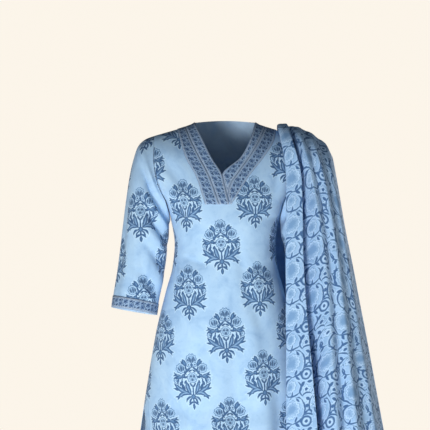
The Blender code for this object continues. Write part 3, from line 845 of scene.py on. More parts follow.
def one_crease(across, up, run, rise, bend, width, depth, flare):
    """A trough or ridge from the origin to run and rise, which may bend and widen on its way."""
    length = np.hypot(run, rise)
    along = (across * run + up * rise) / length ** 2
    aside = (across * rise - up * run) / length
    t = np.clip(along, 0.0, 1.0)
    past = (along - t) * length
    aside = aside - bend * 4 * t * (1 - t)
    spread = width * (1 + flare * (t - 0.5))
    return depth * end_fade(t, CREASE_START) * np.exp(-(aside ** 2 + past ** 2) / spread ** 2)


def swells(seed, across, up, form):
    """Soft uneven swells of the cloth, the same on each run."""
    height, share_across, share_up, size = form
    rng = np.random.default_rng(seed)
    total = 0.0
    for _ in range(SWELL_WAVES):
        angle = rng.uniform(0, math.pi)
        wave = size * rng.uniform(*SWELL_SIZES)
        phase = rng.uniform(0, 2 * math.pi)
        along = across * share_across * math.cos(angle) + up * share_up * math.sin(angle)
        total = total + np.sin(2 * math.pi * along / wave + phase)
    return height * total / SWELL_WAVES


class Grid:
    """A cloth surface: points in rows of columns, with the cloth's own coordinates."""

    def __init__(self, points, around=False):
        self.points = np.asarray(points, float)
        self.around = around
        self.cloth = np.zeros(self.points.shape[:2] + (2,))
        self.edge = np.full(self.points.shape[:2] + (2,), 1.0)

    def normals(self, flip=False):
        p = self.points
        if self.around:
            across = np.roll(p, -1, axis=1) - np.roll(p, 1, axis=1)
        else:
            across = np.gradient(p, axis=1)
        normal = np.cross(across, np.gradient(p, axis=0))
        normal /= np.linalg.norm(normal, axis=2, keepdims=True) + TINY
        return -normal if flip else normal

    def numbers(self, start=0):
        """Each point's number, counted row by row from the start."""
        rows, columns = self.points.shape[:2]
        return start + np.arange(rows * columns).reshape(rows, columns)

    def lists(self):
        """The points, their cloth coordinates and their edge distances, row by row."""
        return self.points.reshape(-1, 3), self.cloth.reshape(-1, 2), self.edge.reshape(-1, 2)

    def push_out(self, push, flip=False):
        """Moves each point along its normal by its millimetres."""
        self.points = self.points + self.normals(flip) * (push / MM)[..., None]


def lengths(points, axes, start):
    """Lengths along each row of points, measured on the given axes from the start column."""
    steps = np.linalg.norm(np.diff(points[..., axes], axis=1), axis=2)
    total = np.concatenate([np.zeros((len(points), 1)), np.cumsum(steps, axis=1)], axis=1)
    return total - total[:, start : start + 1]


def turned(values):
    """A grid's values with its rows as columns."""
    return np.swapaxes(values, 0, 1)


def lengths_down(points, axes, start):
    """Lengths along each column of points, from the start row."""
    return turned(lengths(turned(points), axes, start))


def front_grids():
    """The front as a left and a right grid, which share their middle line up to the neck."""
    heights = panel_heights()
    middle = CELLS_TO_ARMHOLE + 2 * CELLS_BETWEEN_LINES
    rows = [front_row(z) for z in heights]
    left = [row[: middle + 1] for row in rows]
    right = [row[middle:] for row in rows]
    for share in yoke_shares()[1:]:
        left.append(front_half(-1, share))
        right.append(front_half(1, share))
    armpit = heights.index(ARMPIT_HEIGHT)
    foot = heights.index(BAND_FOOT_HEIGHT)
    grids = [panel_grid(1, np.array(half)) for half in (left, right)]
    return grids[0], grids[1], armpit, foot, len(rows) - 1


def back_grid():
    """The back as one grid, from its hem to its neck and shoulders."""
    cells = 2 * BACK_SHOULDER_CELLS + BACK_NECK_CELLS
    rows = []
    for z in panel_heights()[:-1]:
        x = torso_columns(z, cells)
        rows.append(np.stack([x, np.full_like(x, z)], axis=-1))
    rows += [back_row(share) for share in yoke_shares()]
    return panel_grid(2, np.array(rows))


def panel_grid(side, places):
    """A panel's surface with its creases, and the distance to its slits and hem."""
    x, z = places[..., 0], places[..., 1]
    grid = Grid(panel_points(side, x, z))
    inward = read_table(TORSO, 1, z) - np.abs(x)
    push = np.zeros_like(x)
    creases = FRONT_CREASES if side == 1 else BACK_CREASES
    for x0, z0, x1, z1, bend, width, depth in creases:
        push += one_crease(x * MM - x0, z * MM - z0, x1 - x0, z1 - z0, bend, width, depth, CREASE_FLARE)
    push = CREASE_SHARE * push + swells(side, x * MM, z * MM, PANEL_SWELL)
    keep = step_between(0.0, SEAM_FADE, inward) * step_between(0.0, SEAM_FADE, shoulder_line(x) - z)
    facing = step_between(*FACING_FADE, np.abs(grid.points[..., 1]))
    slit = np.hypot(inward, np.maximum(z - SLIT_HEIGHT, 0.0))
    grid.edge[..., 0] = np.minimum(slit, z - HEM_HEIGHT)
    grid.push_out(push * keep * facing, flip=side == 2)
    return grid


def measure_panel(grids, side):
    """Lays a panel flat: across from the centre line, and up from the origin's height."""
    for grid in grids:
        p = grid.points
        start = int(np.argmin(np.abs(p[0, :, 0])))
        up = lengths_down(p, Y_Z, 0)
        settled = step_between(ARMPIT_HEIGHT, NECK_VERTEX_HEIGHT, p[..., 2])
        grid.cloth[..., 0] = lengths(p, X_Y, start) + p[:, start : start + 1, 0]
        grid.cloth[..., 1] = blend(up[:, start : start + 1], up, settled) + HEM_HEIGHT
        if side == 2:
            grid.cloth[..., 0] *= -1


def armhole_loop(sign, front, back, armpit):
    """The armhole's points and outward directions, from the shoulder down the front and up the
    back, and how many of them are on the front."""
    column = 0 if sign < 0 else -1
    down = front.points[armpit:, column][::-1]
    down_normals = front.normals()[armpit:, column][::-1]
    up = back.points[armpit:, column]
    up_normals = back.normals(flip=True)[armpit:, column]
    tip = (down[0] + up[-1]) / 2
    pit = (down[-1] + up[0]) / 2
    points = np.concatenate([[tip], down[1:-1], [pit], up[1:-1]])
    tip_normal = down_normals[0] + up_normals[-1]
    pit_normal = down_normals[-1] + up_normals[0]
    normals = np.concatenate([[tip_normal], down_normals[1:-1], [pit_normal], up_normals[1:-1]])
    normals /= np.linalg.norm(normals, axis=1, keepdims=True)
    return points, normals, len(down) - 1


def sleeve_ring(row, sign, spread, half, count):
    """One ring of a sleeve: count points, of which the first half go down the front."""
    outer_x, outer_z, inner_x, inner_z, half_depth, centre_y, tilt = row
    outer = np.array((sign * (outer_x + spread), centre_y, outer_z))
    inner = np.array((sign * (inner_x + spread), centre_y, inner_z))
    centre = (outer + inner) / 2
    place = np.arange(count)
    behind = 1 + (place - half) / (count - half)
    turn = math.pi * np.where(place <= half, place / half, behind)
    ring = centre + np.cos(turn)[:, None] * (outer - centre)
    ring[:, 1] -= half_depth * np.sin(turn)
    ring[:, 2] += tilt * np.sin(turn)
    return ring, turn


def sleeve_grid(sign, front, back, armpit):
    """A sleeve's rings from the armhole to its hem, through the rings of its solid."""
    loop, loop_normals, half = armhole_loop(sign, front, back, armpit)
    last = len(SLEEVE) - 1
    rings = []
    for k, row in enumerate(SLEEVE):
        spread = LEFT_SLEEVE_SPREAD * float(step_between(*SPREAD_SHARES, k / last)) if sign > 0 else 0.0
        ring, turn = sleeve_ring(row, sign, spread, half, len(loop))
        rings.append(ring)
    shift = loop - rings[0]
    for k in range(1, len(rings)):
        rings[k] = rings[k] + shift * (1 - float(step_between(*ARMHOLE_RINGS, k)))
    rings[0] = loop
    grid = Grid(rings, around=True)
    own = grid.normals(flip=sign < 0)[0]
    along = np.roll(loop, -1, axis=0) - np.roll(loop, 1, axis=0)
    along /= np.linalg.norm(along, axis=1, keepdims=True)
    away = grid.points[1] - loop
    away -= along * np.sum(away * along, axis=1, keepdims=True)
    away /= np.linalg.norm(away, axis=1, keepdims=True)
    facing = np.maximum(np.sum(loop_normals * away, axis=1), 0)
    folded = np.maximum(-np.sum(loop_normals * own, axis=1), 0)
    grid.points[0] = loop + away * (SEAM_GAP + SOLID_WALL * facing)[:, None]
    grid.points[0] += loop_normals * ((SEAM_GAP + 2 * SOLID_WALL) * folded)[:, None]
    upper = np.linspace(0, last - 1, SLEEVE_RINGS)
    lower = last - 1 + np.arange(1, SLEEVE_BORDER_RINGS + 1) / SLEEVE_BORDER_RINGS
    places = np.concatenate([upper, lower])
    fine = Grid(smooth_through(np.arange(last + 1), grid.points, places), around=True)
    return crease_sleeve(fine, sign, turn)


def crease_sleeve(grid, sign, turn):
    """Adds a sleeve's creases, and lays it flat from the line over its front."""
    p = grid.points
    steps = p - np.roll(p, 1, axis=1)
    around = np.sum(np.linalg.norm(steps, axis=2), axis=1, keepdims=True)
    level = np.cumsum(np.linalg.norm(steps[..., X_Y], axis=2), axis=1)
    down = lengths_down(p, X_Y_Z, 0)
    radius = around * MM / (2 * math.pi)
    degrees = np.degrees(turn)[None, :]
    push = np.zeros(p.shape[:2])
    for turn0, along0, turn1, along1, width, depth in SLEEVE_CREASES:
        apart = (degrees - (turn0 + turn1) / 2 + 180) % 360 - 180
        reach = np.radians(turn1 - turn0) * radius
        across = np.radians(apart) * radius + reach / 2
        push += one_crease(across, down * MM - along0, reach, along1 - along0, 0.0, width, depth, 0.0)
    push = CREASE_SHARE * push + swells(SLEEVE_SEED + sign, degrees, down * MM, SLEEVE_SWELL)
    cuff = step_between(CUFF_START, 1.0, down / down[-1:])
    grid.push_out(push * step_between(0.0, ARMHOLE_FADE, down) * blend(1.0, CUFF_SHARE, cuff), sign < 0)
    front = int(np.argmin(np.abs(degrees - 90)))
    flat = level - level[:, front : front + 1]
    ahead, above = np.array(BUTTA_PLACE) / MM - BUTTA_ON_SLEEVE
    grid.cloth[..., 0] = p[:, front : front + 1, 0] - sign * (flat + ahead)
    grid.cloth[..., 1] = p[..., 2] + above
    return grid


def dupatta_keys(drop, back):
    """The key lines' points at this drop below the ridge."""
    columns = np.array([row[1:] for row in DUPATTA_FRONT]).T
    ridge_x, ridge_z, *lower_x, forward, low_forward = columns
    x = smooth_through(DUPATTA_DROPS, [ridge_x, *lower_x], np.array([drop]))[0]
    lower = float(step_between(BESIDE_SLEEVE, BELOW_SLEEVE, drop))
    share = blend(forward, low_forward, lower)
    share = blend(1.0, share, BACK_FOLD_SHARE) if back else share
    depth = read_table(DUPATTA_DEPTH, 2 if back else 1, drop) * share
    y = -depth * cap_share(drop, DUPATTA_CAP)
    if back:
        inner = 1 - step_between(ridge_x[1], ridge_x[-1], ridge_x)
        x = x - DUPATTA_BACK_INWARD * inner * float(step_between(0.0, DUPATTA_BACK_FADE, drop))
        y = -y
    return np.stack([x, y, ridge_z - drop], axis=-1)


def dupatta_grid():
    """The dupatta from its front hem, over the shoulder, to its back hem."""
    turns = 0.5 * math.pi * np.arange(1, DUPATTA_RIDGE_ROWS + 1) / DUPATTA_RIDGE_ROWS
    near = DUPATTA_CAP * (1 - np.cos(turns))
    far = np.linspace(DUPATTA_CAP, DUPATTA_LENGTH, DUPATTA_FALL_ROWS + 1)[1:]
    drops = np.concatenate([near, far])
    places = np.arange(DUPATTA_CELLS * (len(DUPATTA_FRONT) - 1) + 1) / DUPATTA_CELLS
    signed = np.concatenate([drops[::-1], [0.0], -drops])
    rows = []
    for drop in signed:
        keys = dupatta_keys(abs(drop), drop < 0)
        rows.append(smooth_through(np.arange(len(keys)), keys, places))
    return crease_dupatta(Grid(rows), places, signed[:, None])


def crease_dupatta(grid, places, signed):
    """Adds the dupatta's finer folds, and lays it flat from its front fold's edge."""
    widths = np.linalg.norm(np.gradient(grid.points, axis=1), axis=2) * DUPATTA_CELLS * MM
    drop = signed * MM
    push = np.zeros(grid.points.shape[:2])
    for column0, drop0, column1, drop1, width, depth in DUPATTA_CREASES:
        t = np.clip((drop - drop0) / (drop1 - drop0), 0, 1)
        past = drop - blend(drop0, drop1, t)
        aside = (places - blend(column0, column1, t)) * np.maximum(widths, NARROWEST_FOLD)
        push += depth * end_fade(t, FOLD_START) * np.exp(-(aside / width) ** 2 - (past / FOLD_END) ** 2)
    grid.push_out(FOLD_SHARE * push + swells(DUPATTA_SEED, places, drop, DUPATTA_SWELL))
    fold_edge = int(np.argmin(np.abs(places - 1)))
    ridge = int(np.argmin(np.abs(signed)))
    grid.cloth[..., 0] = lengths(grid.points, X_Y_Z, fold_edge)
    grid.cloth[..., 1] = -lengths_down(grid.points, X_Y_Z, ridge)
    across = lengths(grid.points, X_Y_Z, 0)
    beside = np.minimum(across, across[:, -1:] - across)
    grid.edge[..., 0] = np.minimum(beside, DUPATTA_LENGTH - np.abs(signed))
    return grid


def grid_quads(numbers, flip=False):
    """The quads between neighbouring points, given each point's number in rows of columns."""
    corners = [numbers[:-1, :-1], numbers[:-1, 1:], numbers[1:, 1:], numbers[1:, :-1]]
    quads = np.stack(corners, axis=-1).reshape(-1, 4)
    return quads[:, ::-1] if flip else quads


def add_mesh(name, points, quads, cloth, edge):
    """A smooth mesh with the cloth's coordinates as its UV map, and its edge distances as another."""
    mesh = bpy.data.meshes.new(name)
    mesh.from_pydata(points.tolist(), [], quads.tolist())
    corners = np.empty(len(mesh.loops), np.int32)
    mesh.loops.foreach_get("vertex_index", corners)
    for layer, values in (("cloth", cloth), ("edge", edge)):
        uv = mesh.uv_layers.new(name=layer)
        uv.data.foreach_set("uv", values[corners].astype(np.float32).ravel())
    mesh.shade_smooth()
    mesh.update()
    piece = bpy.data.objects.new(name, mesh)
    bpy.context.scene.collection.objects.link(piece)
    return piece


def cloth_piece(name, shape, wall, materials, nodes):
    """A piece of cloth that stands for its solids: a thin wall outside the surface given."""
    piece = add_mesh(name, *shape)
    for material in materials:
        piece.data.materials.append(material)
    solidify = piece.modifiers.new("wall", "SOLIDIFY")
    solidify.thickness = wall
    solidify.offset = 1.0
    solidify.material_offset = 1
    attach(piece, "root")
    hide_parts(*nodes)
    return piece


def grid_piece(name, grid, wall, materials, nodes, flip=False):
    """A grid as the piece of cloth that stands for these solids."""
    numbers = grid.numbers()
    if grid.around:
        numbers = np.concatenate([numbers, numbers[:, :1]], axis=1)
    points, cloth, edge = grid.lists()
    shape = (points, grid_quads(numbers, flip), cloth, edge)
    return cloth_piece(name + "_cloth", shape, wall, materials, nodes)


def joined_front(left, right, vertex_row):
    """The front's two grids as one list of points and quads, welded along the middle line."""
    numbers_left = left.numbers()
    numbers_right = right.numbers(numbers_left.size)
    numbers_right[: vertex_row + 1, 0] = numbers_left[: vertex_row + 1, -1]
    quads = np.concatenate([grid_quads(numbers_left), grid_quads(numbers_right)])
    used = np.unique(quads)
    points, cloth, edge = [np.concatenate(both)[used] for both in zip(left.lists(), right.lists())]
    return points, np.searchsorted(used, quads), cloth, edge


class Field:
    """A number at each point of a surface, worked out by the nodes of one material."""

    def __init__(self, tree, socket):
        self.tree = tree
        self.socket = socket

    def __add__(self, other):
        return math_node(self.tree, "ADD", self, other)

    def __sub__(self, other):
        return math_node(self.tree, "SUBTRACT", self, other)

    def __rsub__(self, other):
        return math_node(self.tree, "SUBTRACT", other, self)

    def __mul__(self, other):
        return math_node(self.tree, "MULTIPLY", self, other)

    def __truediv__(self, other):
        return math_node(self.tree, "DIVIDE", self, other)

    def __abs__(self):
        return math_node(self.tree, "ABSOLUTE", self)


def add_node(tree, kind, inputs, **settings):
    """A shader node with its settings, and with each input set to a value or linked to an output."""
    node = tree.nodes.new("ShaderNode" + kind)
    for name, value in settings.items():
        setattr(node, name, value)
    for place, value in inputs.items():
        if isinstance(value, Field):
            value = value.socket
        if isinstance(value, bpy.types.NodeSocket):
            tree.links.new(value, node.inputs[place])
        else:
            node.inputs[place].default_value = value
    return node


def math_node(tree, operation, *values, clamp=False):
    node = add_node(tree, "Math", dict(enumerate(values)), operation=operation, use_clamp=clamp)
    return Field(tree, node.outputs[0])


def vector_node(tree, operation, *values, out="Vector"):
    return add_node(tree, "VectorMath", dict(enumerate(values)), operation=operation).outputs[out]


def parts_of(tree, place):
    """The x, y and z of a place, as fields."""
    return [Field(tree, part) for part in add_node(tree, "SeparateXYZ", {0: place}).outputs]


def place_at(tree, x, y):
    """The place whose coordinates are these fields."""
    return add_node(tree, "CombineXYZ", {0: x, 1: y}).outputs[0]


class Drawing:
    """Shapes drawn in millimetres at a place of the cloth. Each one is a field that is below 0
    inside the shape and above it outside, in about millimetres."""

    def __init__(self, tree, place):
        self.tree = tree
        self.place = place

    def distance(self, x, y):
        return Field(self.tree, vector_node(self.tree, "DISTANCE", self.place, (x, y, 0), out="Value"))

    def disc(self, x, y, radius):
        return self.distance(x, y) - radius

    def ring(self, x, y, radius, thick):
        return abs(self.distance(x, y) - radius) - thick / 2

    def leaf(self, x0, y0, x1, y1, left, right):
        """A leaf with its tips at the two points, between two arcs: left and right are how far
        the arcs stand to the left of the line from the first tip to the second, right below left.
        """
        sides = [self._arc(x0, y0, x1, y1, left, 1), self._arc(x0, y0, x1, y1, right, -1)]
        return math_node(self.tree, "MAXIMUM", *sides)

    def _arc(self, x0, y0, x1, y1, height, side):
        """Below 0 on the right of the arc for side 1, and on its left for side -1."""
        length = math.hypot(x1 - x0, y1 - y0)
        least = LEAST_BULGE * length
        bulge = height if abs(height) > least else math.copysign(least, height * side)
        radius = (length * length / 4 + bulge * bulge) / (2 * abs(bulge))
        way = math.copysign(1, bulge)
        normal_x, normal_y = -(y1 - y0) / length, (x1 - x0) / length
        inward = abs(bulge) - radius
        centre_x = (x0 + x1) / 2 + normal_x * way * inward
        centre_y = (y0 + y1) / 2 + normal_y * way * inward
        away = self.distance(centre_x, centre_y)
        inside = way * side > 0
        return away - radius if inside else radius - away

    def stem(self, x0, y0, x1, y1, bend, thick):
        """A thin line, thickest in its middle, that bends to its left by bend."""
        return self.leaf(x0, y0, x1, y1, bend + thick / 2, bend - thick / 2)

    def rosette(self, x, y, radius, petals, depth, phase=0.0):
        """A round shape whose rim goes in and out, once for each petal."""
        across, up, _ = parts_of(self.tree, vector_node(self.tree, "SUBTRACT", self.place, (x, y, 0)))
        angle = math_node(self.tree, "ARCTAN2", up, across)
        wave = math_node(self.tree, "COSINE", angle * petals + phase) * depth
        return self.distance(x, y) - (wave + radius)

    def all_of(self, table):
        """The shapes of a table as one field."""
        kinds = {"leaf": self.leaf, "stem": self.stem, "disc": self.disc, "ring": self.ring,
                 "rosette": self.rosette}
        return union([kinds[kind](*row) for kind, rows in table.items() for row in rows])


def union(shapes):
    """The fields joined: below 0 inside any of the shapes."""
    total = shapes[0]
    for shape in shapes[1:]:
        total = math_node(total.tree, "MINIMUM", total, shape)
    return total


def inked(field, soft):
    """1 inside a shape and 0 outside it, with an edge that is soft millimetres wide."""
    return math_node(field.tree, "ADD", field * (-1 / soft), 0.5, clamp=True)


def band(field, middle, half, soft):
    """1 where the field is within half of the middle, such as along a shape's rim."""
    return inked(abs(field - middle) - half, soft)


def ramp(field, start, gain):
    """0 up to the start and rising to 1 past it, or the other way for a gain below 0."""
    return math_node(field.tree, "MULTIPLY", field - start, gain, clamp=True)


class Paint:
    """A colour built up in layers over the cloth's ground."""

    def __init__(self, tree, ground):
        self.tree = tree
        self.colour = (*ground, 1)

    def over(self, colour, amount):
        inputs = {0: amount, MIX_COLOUR_A: self.colour, MIX_COLOUR_B: (*colour, 1)}
        mix = add_node(self.tree, "Mix", inputs, data_type="RGBA", clamp_factor=True)
        self.colour = mix.outputs[MIX_COLOUR_OUT]

    def layers(self, table, fields):
        """Paints a print's layers, with its shapes and masks by name."""
        for colour, name, distance, half, soft, share, *masks in table:
            if half is None:
                amount = inked(fields[name] - distance, soft)
            else:
                amount = band(fields[name], distance, half, soft)
            for mask in masks:
                amount = amount * fields[mask]
            self.over(colour, amount * share)


def noise(tree, place, scale, detail=2.0, rough=0.5, distort=0.0):
    """A soft noise texture, as a field and as a colour."""
    inputs = {"Vector": place, "Scale": scale, "Detail": detail, "Roughness": rough, "Distortion": distort}
    node = add_node(tree, "TexNoise", inputs)
    return Field(tree, node.outputs["Fac"]), node.outputs["Color"]


def new_material(name):
    material = bpy.data.materials.new(name)
    material.use_nodes = True
    tree = material.node_tree
    shader = tree.nodes["Principled BSDF"]
    roughness, sheen = FINISHES[name]
    shader.inputs["Roughness"].default_value = roughness
    shader.inputs["Specular IOR Level"].default_value = CLOTH_GLOSS
    shader.inputs["Sheen Weight"].default_value = sheen
    shader.inputs["Sheen Roughness"].default_value = SHEEN_ROUGHNESS
    return material, tree, shader


def cloth_place(tree, layer="cloth"):
    """The cloth's own coordinates in millimetres."""
    uv = add_node(tree, "UVMap", {}, uv_map=layer)
    return vector_node(tree, "MULTIPLY", uv.outputs[0], (MM, MM, 0))


def wobbled(tree, place, size, amount):
    """The place moved a little to and fro, as the lines of a hand-cut print are."""
    moved = noise(tree, place, 1 / size, detail=1.0)[1]
    centred = vector_node(tree, "SUBTRACT", moved, (0.5, 0.5, 0.5))
    scaled = vector_node(tree, "MULTIPLY", centred, (2 * amount, 2 * amount, 0))
    return vector_node(tree, "ADD", place, scaled)


def half_drop(tree, place, across, along):
    """The place within its cell of a half-drop repeat, whose columns stand across apart."""
    high = (across, along / 2, 1)
    low = (-across, -along / 2, -1)
    one = vector_node(tree, "WRAP", place, high, low)
    moved = vector_node(tree, "SUBTRACT", place, (across, along / 2, 0))
    other = vector_node(tree, "WRAP", moved, high, low)
    size = vector_node(tree, "ABSOLUTE", one)
    reach = vector_node(tree, "DOT_PRODUCT", size, (1 / across, 2 / along, 0), out="Value")
    outside = math_node(tree, "GREATER_THAN", Field(tree, reach), 1.0)
    inputs = {0: outside, MIX_VECTOR_A: one, MIX_VECTOR_B: other}
    return add_node(tree, "Mix", inputs, data_type="VECTOR").outputs[MIX_VECTOR_OUT]


def mirrored(tree, place):
    """The place with its left half folded over onto its right half."""
    x, y, _ = parts_of(tree, place)
    return place_at(tree, abs(x), y)


def brick(tree, place, across, along):
    """The place within its cell where each next column is shifted by half its repeat."""
    x, y, _ = parts_of(tree, place)
    column = math_node(tree, "FLOOR", x / across + 0.5)
    odd = math_node(tree, "PINGPONG", column, 1.0)
    shifted = y + odd * (along / 2)
    return place_at(tree, x - column * across, math_node(tree, "WRAP", shifted, along / 2, -along / 2))


def hem_fields(tree, fold):
    """1 within a hem of this many millimetres, and 1 along the line where it is sewn down."""
    rim = parts_of(tree, cloth_place(tree, "edge"))[0]
    return inked(rim - fold, HEM_SOFT), band(rim, fold - SEWN_INSIDE, SEWN_HALF, SEWN_SOFT)


def add_bump(tree, shader, height, strength, distance):
    bump = add_node(tree, "Bump", {"Height": height, "Strength": strength, "Distance": distance})
    tree.links.new(bump.outputs[0], shader.inputs["Normal"])


def weave(tree, shader, place, paint, strength, pitch, relief=None):
    """Gives a cloth its colour and its fine threads both ways, with slubs and a seam's relief."""
    waves = []
    for direction in ("X", "Y"):
        inputs = {"Vector": place, "Scale": THREAD_SCALE / pitch, "Distortion": THREAD_WOBBLE, "Detail": 1.0}
        wave = add_node(tree, "TexWave", inputs, bands_direction=direction)
        waves.append(Field(tree, wave.outputs["Fac"]))
    height = math_node(tree, "MAXIMUM", *waves) + noise(tree, place, *SLUB_NOISE)[0] * SLUB_SHARE
    if relief is not None:
        height = height + relief
    add_bump(tree, shader, height, strength, WEAVE_DEPTH)
    tree.links.new(paint.colour, shader.inputs["Base Color"])


def mottled_ground(tree, place, base, deep, pale):
    """The uneven, watercolour-like blue that the cloth is printed on."""
    noises = {"cloud": noise(tree, place, *CLOUD_NOISE)[0], "grain": noise(tree, place, *GRAIN_NOISE)[0]}
    colours = {"deep": deep, "pale": pale}
    paint = Paint(tree, base)
    for name, colour, start, gain, share in MOTTLES:
        paint.over(colours[colour], ramp(noises[name], start, gain) * share)
    return paint


def kurti_cotton():
    """Printed cotton: a flowering-plant motif in half-drop rows on a mottled blue ground."""
    material, tree, shader = new_material("kurti_cotton")
    place = cloth_place(tree)
    lean = (0.0, 0.0, math.radians(BUTTA_LEAN))
    inputs = {"Vector": place, "Location": (*BUTTA_PLACE, 0.0), "Rotation": lean}
    leaning = add_node(tree, "Mapping", inputs, vector_type="TEXTURE")
    cell = half_drop(tree, wobbled(tree, leaning.outputs[0], *BUTTA_WOBBLE), BUTTA_ACROSS, BUTTA_ALONG)
    draw = Drawing(tree, mirrored(tree, cell))
    paint = mottled_ground(tree, place, GROUND, GROUND_DEEP, GROUND_PALE)
    paint.layers(BUTTA_LAYERS, {
        "halo": draw.all_of(BUTTA_HALO),
        "ink": draw.all_of(BUTTA_INK),
        "veins": draw.all_of(BUTTA_VEINS),
        "blooms": draw.all_of(BUTTA_BLOOMS),
        "hearts": draw.all_of(BUTTA_HEARTS),
        "blots": ramp(noise(tree, place, BUTTA_BLOTS)[0], *BUTTA_BLOT_RAMP),
    })
    hem, seam = hem_fields(tree, KURTI_HEM)
    paint.over(GROUND_DEEP, hem * KURTI_HEM_SHADE)
    # Painted shade: the sewn line's groove is darkened in colour.
    paint.over(INK_SOFT_AND_SEWN_SHADE, seam * KURTI_SEWN_PAINTED_SHADE)
    relief = hem * KURTI_HEM_RELIEF[0] - seam * KURTI_HEM_RELIEF[1]
    weave(tree, shader, place, paint, *COTTON_WEAVE, relief)
    return material


def dupatta_muslin():
    """Soft muslin printed all over with a trailing flower vine."""
    material, tree, shader = new_material("dupatta_muslin")
    place = cloth_place(tree)
    shifted = vector_node(tree, "ADD", wobbled(tree, place, *JAAL_WOBBLE), JAAL_PLACE)
    draw = Drawing(tree, brick(tree, shifted, JAAL_ACROSS, JAAL_ALONG))
    blooms = draw.all_of(JAAL_BLOOMS)
    blot = noise(tree, place, JAAL_BLOTS)[0]
    paint = mottled_ground(tree, place, MUSLIN, MUSLIN_DEEP, MUSLIN_PALE)
    paint.layers(JAAL_LAYERS, {
        "blooms": blooms,
        "middles": blooms / MIDDLE_FADE - (blot - 0.5) * JAAL_BLOT_SHARE + 0.5,
        "ink": draw.all_of(JAAL_VINES) - JAAL_WIDER,
    })
    hem, seam = hem_fields(tree, DUPATTA_HEM)
    paint.over(MUSLIN_DEEP, hem * DUPATTA_HEM_SHADE)
    relief = hem * DUPATTA_HEM_RELIEF[0] - seam * DUPATTA_HEM_RELIEF[1]
    weave(tree, shader, place, paint, *MUSLIN_WEAVE, relief)
    return material


def border_cotton():
    """The border's print: small roses on a winding stem between pale stitched lines."""
    material, tree, shader = new_material("border_cotton")
    place = cloth_place(tree)
    low = tuple(-half for half in BORDER_CELL)
    draw = Drawing(tree, vector_node(tree, "WRAP", wobbled(tree, place, *BORDER_WOBBLE), BORDER_CELL, low))
    rim, along, _ = parts_of(tree, cloth_place(tree, "edge"))
    stitch = math_node(tree, "PINGPONG", along, PRINTED_PITCH)
    paint = mottled_ground(tree, place, BORDER_GROUND, BORDER_DEEP, BORDER_PALE)
    paint.layers(BORDER_LAYERS, {
        "roses": draw.all_of(BORDER_ROSES),
        "ink": draw.all_of(BORDER_STEMS),
        "rim": rim,
        "stitches": inked(stitch - PRINTED_LENGTH, PRINTED_SOFT),
    })
    weave(tree, shader, place, paint, *COTTON_WEAVE)
    return material


def reverse_cloth(name, base, deep, pale):
    """The wrong side of a print: paler, with only its ground colours showing through."""
    material, tree, shader = new_material(name)
    place = cloth_place(tree)
    weave(tree, shader, place, mottled_ground(tree, place, base, deep, pale), *REVERSE_WEAVE)
    return material


def sewing_thread():
    """Pale twisted thread."""
    material, tree, shader = new_material("sewing_thread")
    twist = noise(tree, cloth_place(tree), *TWIST_NOISE)[0]
    paint = Paint(tree, THREAD_DEEP)
    paint.over(THREAD_PALE, ramp(twist, *TWIST_RAMP))
    tree.links.new(paint.colour, shader.inputs["Base Color"])
    add_bump(tree, shader, twist, *TWIST_BUMP)
    return material


def raised(points, normals):
    """A border strip's surface, moved out from the cloth under it."""
    return Grid(points + normals * (UNDER_BORDER + SEAM_GAP))


def lay_strip(strip, across, along, width):
    """Lays a border strip flat about its middle line, with the distance to its nearest long edge."""
    strip.cloth[..., 0] = across - width / 2
    strip.cloth[..., 1] = along
    strip.edge[..., 0] = np.minimum(across, width - across)
    strip.edge[..., 1] = along


def sampled(at, along, rows):
    """The rows' values at these lengths along them."""
    return np.stack([np.interp(at, along, column) for column in rows.T], axis=-1)


def inset_line(points, normals, distance):
    """The line beside a grid's first column, this far in along its rows, with its normals."""
    both = np.concatenate([points, normals], axis=2)
    return np.array([sampled(distance, along, row) for along, row in zip(lengths(points, X_Y_Z, 0), both)])


def stitch_shapes(line, lift):
    """Small pointed stitches along a line, half sunk in the cloth's outer side."""
    along = lengths(line[None], X_Y_Z, 0)[0]
    count = max(1, int(along[-1] / STITCH_PITCH))
    at = (np.arange(count) + 0.5) * along[-1] / count
    shifts = (-STITCH_LENGTH / 2, 0.0, STITCH_LENGTH / 2)
    before, middle, after = [sampled(at + shift, along, line) for shift in shifts]
    normal = middle[:, 3:] / np.linalg.norm(middle[:, 3:], axis=1, keepdims=True)
    aside = np.cross(after[:, :3] - before[:, :3], normal)
    aside *= STITCH_WIDTH / 2 / np.linalg.norm(aside, axis=1, keepdims=True)
    low = normal * (lift - STITCH_HEIGHT / 2)
    rim = middle[:, :3] + normal * lift
    top = rim + normal * STITCH_HEIGHT
    return np.stack([before[:, :3] + low, rim + aside, after[:, :3] + low, rim - aside, top], axis=1)


def add_stitching(name, lines, lift, thread):
    """All the stitches along the given lines as one piece."""
    shapes = np.concatenate([stitch_shapes(line, lift) for line in lines])
    count, corners = shapes.shape[:2]
    faces = (np.arange(count)[:, None, None] * corners + STITCH_FACES).reshape(-1, 3)
    flat = np.zeros((count * corners, 2))
    flat[:, 1] = np.repeat(np.arange(count) * STITCH_PITCH, corners)
    piece = add_mesh(name, shapes.reshape(-1, 3), faces, flat, flat)
    piece.data.materials.append(thread)
    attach(piece, "root")
    return piece


def border_lines(points, normals):
    """Where a strip is sewn down beside its two long edges."""
    return [
        inset_line(points, normals, BORDER_STITCH),
        inset_line(points[:, ::-1], normals[:, ::-1], BORDER_STITCH),
    ]


def hem_lines(grid, flip, slit_row, sides):
    """Where a panel's hem and the slits at its given sides are sewn."""
    p = grid.points
    n = grid.normals(flip)
    lines = [inset_line(turned(p), turned(n), HEM_STITCH)]
    low = slice(0, slit_row + 1)
    if "left" in sides:
        lines.append(inset_line(p[low], n[low], HEM_STITCH))
    if "right" in sides:
        lines.append(inset_line(p[low, ::-1], n[low, ::-1], HEM_STITCH))
    return lines


